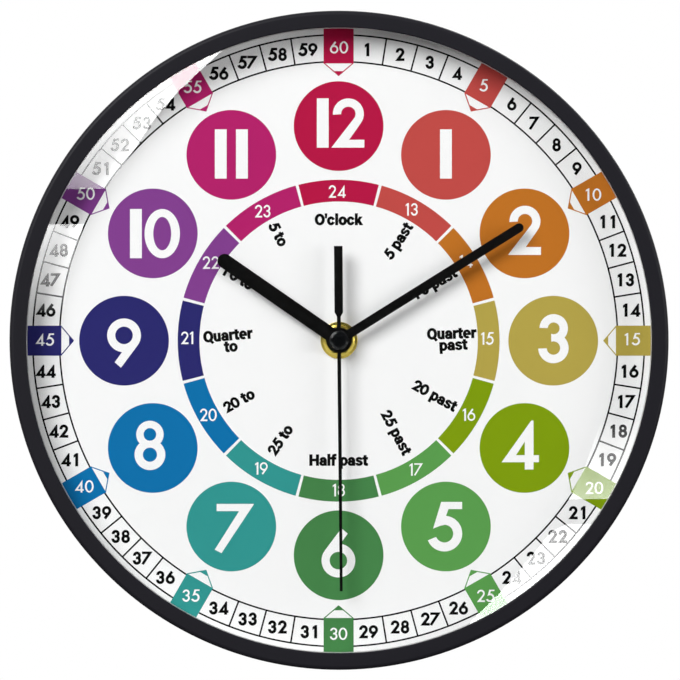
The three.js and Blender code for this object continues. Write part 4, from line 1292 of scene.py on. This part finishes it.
def glow(name, first, second):
    """Light for sharp mirrors only that changes along a line, with each end as (strength, x, z)."""
    made, tree, _ = new_material(name)
    start, end = Vector((first[1], 0, first[2])), Vector((second[1], 0, second[2]))
    line = end - start
    along = add_node(tree, "VectorMath", {0: own_place(tree), 1: line / line.length_squared})
    along.operation = "DOT_PRODUCT"
    ends = [end.dot(line) / line.length_squared for end in (start, end)]
    strength = map_range(tree, along.outputs["Value"], *ends, first[0], second[0])
    path = light_path(tree)
    sharp = maths(tree, "MULTIPLY", strength, path["Is Singular Ray"])
    before_lens = maths(tree, "LESS_THAN", path["Transmission Depth"], THROUGH_LENS)
    light = add_node(tree, "Emission", {"Strength": maths(tree, "MULTIPLY", sharp, before_lens)})
    show(tree, light.outputs["Emission"])
    return made


def panel(name, corners, faces, look, mirrors_only=True):
    """A panel that neither lights dull surfaces nor shows directly if it is for mirrors only."""
    mesh = bpy.data.meshes.new(name)
    mesh.from_pydata(corners, [], faces)
    mesh.materials.append(look)
    made = scene_object(name, mesh)
    if mirrors_only:
        made.visible_camera = False
        made.visible_diffuse = False
        made.visible_shadow = False


def floor():
    """A floor whose far part is as white as the sky behind it."""
    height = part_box("case_frame")[0].z - FLOOR_DROP
    corners = [(x, y, height) for x, y in rectangle(-FLOOR_HALF, FLOOR_HALF, -FLOOR_HALF, FLOOR_HALF)]
    made, tree, shader = new_material("floor")
    path = light_path(tree)
    behind_lens = maths(tree, "GREATER_THAN", path["Transmission Depth"], THROUGH_LENS)
    seen = maths(tree, "MAXIMUM", path["Is Camera Ray"], behind_lens)
    tone = blend_colours(tree, seen, FLOOR_BOUNCE, FLOOR_COLOUR)
    set_inputs(tree, shader, {"Base Color": tone, "Roughness": 0.8, "Specular IOR Level": 0})
    distance = add_node(tree, "VectorMath", {0: own_place(tree)})
    distance.operation = "LENGTH"
    fade = map_range(tree, distance.outputs["Value"], FLOOR_FADE_START, FLOOR_FADE_END)
    share = maths(tree, "MULTIPLY", fade, seen)
    white = tree.nodes.new("ShaderNodeEmission").outputs["Emission"]
    show(tree, mix_shaders(tree, share, shader.outputs["BSDF"], white))
    panel("floor", corners, [(0, 1, 2, 3)], made, mirrors_only=False)


def curtain():
    """A dark curtain round the camera's side of the room, which only mirrors and glass show."""
    steps = 16
    turns = [math.radians(CURTAIN_REACH * (2 * i / steps - 1)) for i in range(steps + 1)]
    low, high = -CURTAIN_HEIGHT / 2, CURTAIN_HEIGHT / 2
    spots = [(CURTAIN_DISTANCE * math.sin(t), -CURTAIN_DISTANCE * math.cos(t)) for t in turns]
    corners = [(x, y, z) for x, y in spots for z in (low, high)]
    faces = [(2 * i, 2 * i + 2, 2 * i + 3, 2 * i + 1) for i in range(steps)]
    panel("curtain", corners, faces, glow("dark", *NO_LIGHT))


def mirrored(x, z):
    """Where a pane's corner has to be for the lens to show it at x and z."""
    away = (CAMERA_DISTANCE + PANE_DISTANCE) / CAMERA_DISTANCE
    middle = Vector((middle_x, middle_z)) + Vector((VIEW_SHIFT_X, VIEW_SHIFT_Y)) * MM
    return middle + Vector((x, z)) * MM * away


def window():
    """The panes, all as far in front of the lens."""
    depth = -(PANE_DISTANCE + lens.front) * MM
    for name, (corners, (low, *low_place), (high, *high_place)) in PANES.items():
        spots = [mirrored(*corner) for corner in corners]
        look = glow(name, (low, *mirrored(*low_place)), (high, *mirrored(*high_place)))
        panel(name, [(x, depth, z) for x, z in spots], [tuple(range(len(spots)))], look)


def world():
    """A sky that is white where it is seen or mirrored, and a weak light elsewhere."""
    made = bpy.data.worlds.new("studio")
    bpy.context.scene.world = made
    made.use_nodes = True
    tree = made.node_tree
    path = light_path(tree)
    mirror = maths(tree, "MAXIMUM", path["Is Glossy Ray"], path["Is Transmission Ray"])
    direct = maths(tree, "LESS_THAN", path["Diffuse Depth"], FIRST_BOUNCE)
    mirrored_sky = maths(tree, "MULTIPLY", mirror, direct)
    seen = maths(tree, "MAXIMUM", path["Is Camera Ray"], mirrored_sky)
    level = maths(tree, "MAXIMUM", seen, SKY_LEVEL)
    set_inputs(tree, tree.nodes["Background"], {"Color": (1, 1, 1, 1), "Strength": level})


def lamp(name, towards, size, power):
    data = bpy.data.lights.new(name, "AREA")
    data.shape = "DISK"
    data.size = size
    data.energy = power
    made = scene_object(name, data)
    direction = Vector(towards).normalized()
    made.location = Vector((middle_x, 0, middle_z)) + direction * LAMP_DISTANCE
    made.rotation_euler = direction.to_track_quat("Z", "Y").to_euler()


def camera():
    data = bpy.data.cameras.new("camera")
    data.sensor_width = SENSOR_WIDTH
    data.lens = SENSOR_WIDTH * CAMERA_DISTANCE / VIEW_WIDTH
    data.clip_start = 0.1
    data.clip_end = 100
    made = scene_object("camera", data)
    back = (CAMERA_DISTANCE + case.front - OUTER_ROUNDING) * MM
    made.location = (middle_x + VIEW_SHIFT_X * MM, -back, middle_z + VIEW_SHIFT_Y * MM)
    made.rotation_euler = (math.pi / 2, 0, 0)
    bpy.context.scene.camera = made


floor()
curtain()
window()
world()
for name, (towards, size, power) in LAMPS.items():
    lamp(name, towards, size, power)
camera()
bpy.context.scene.view_settings.view_transform = "Standard"

bpy.context.view_layer.update()
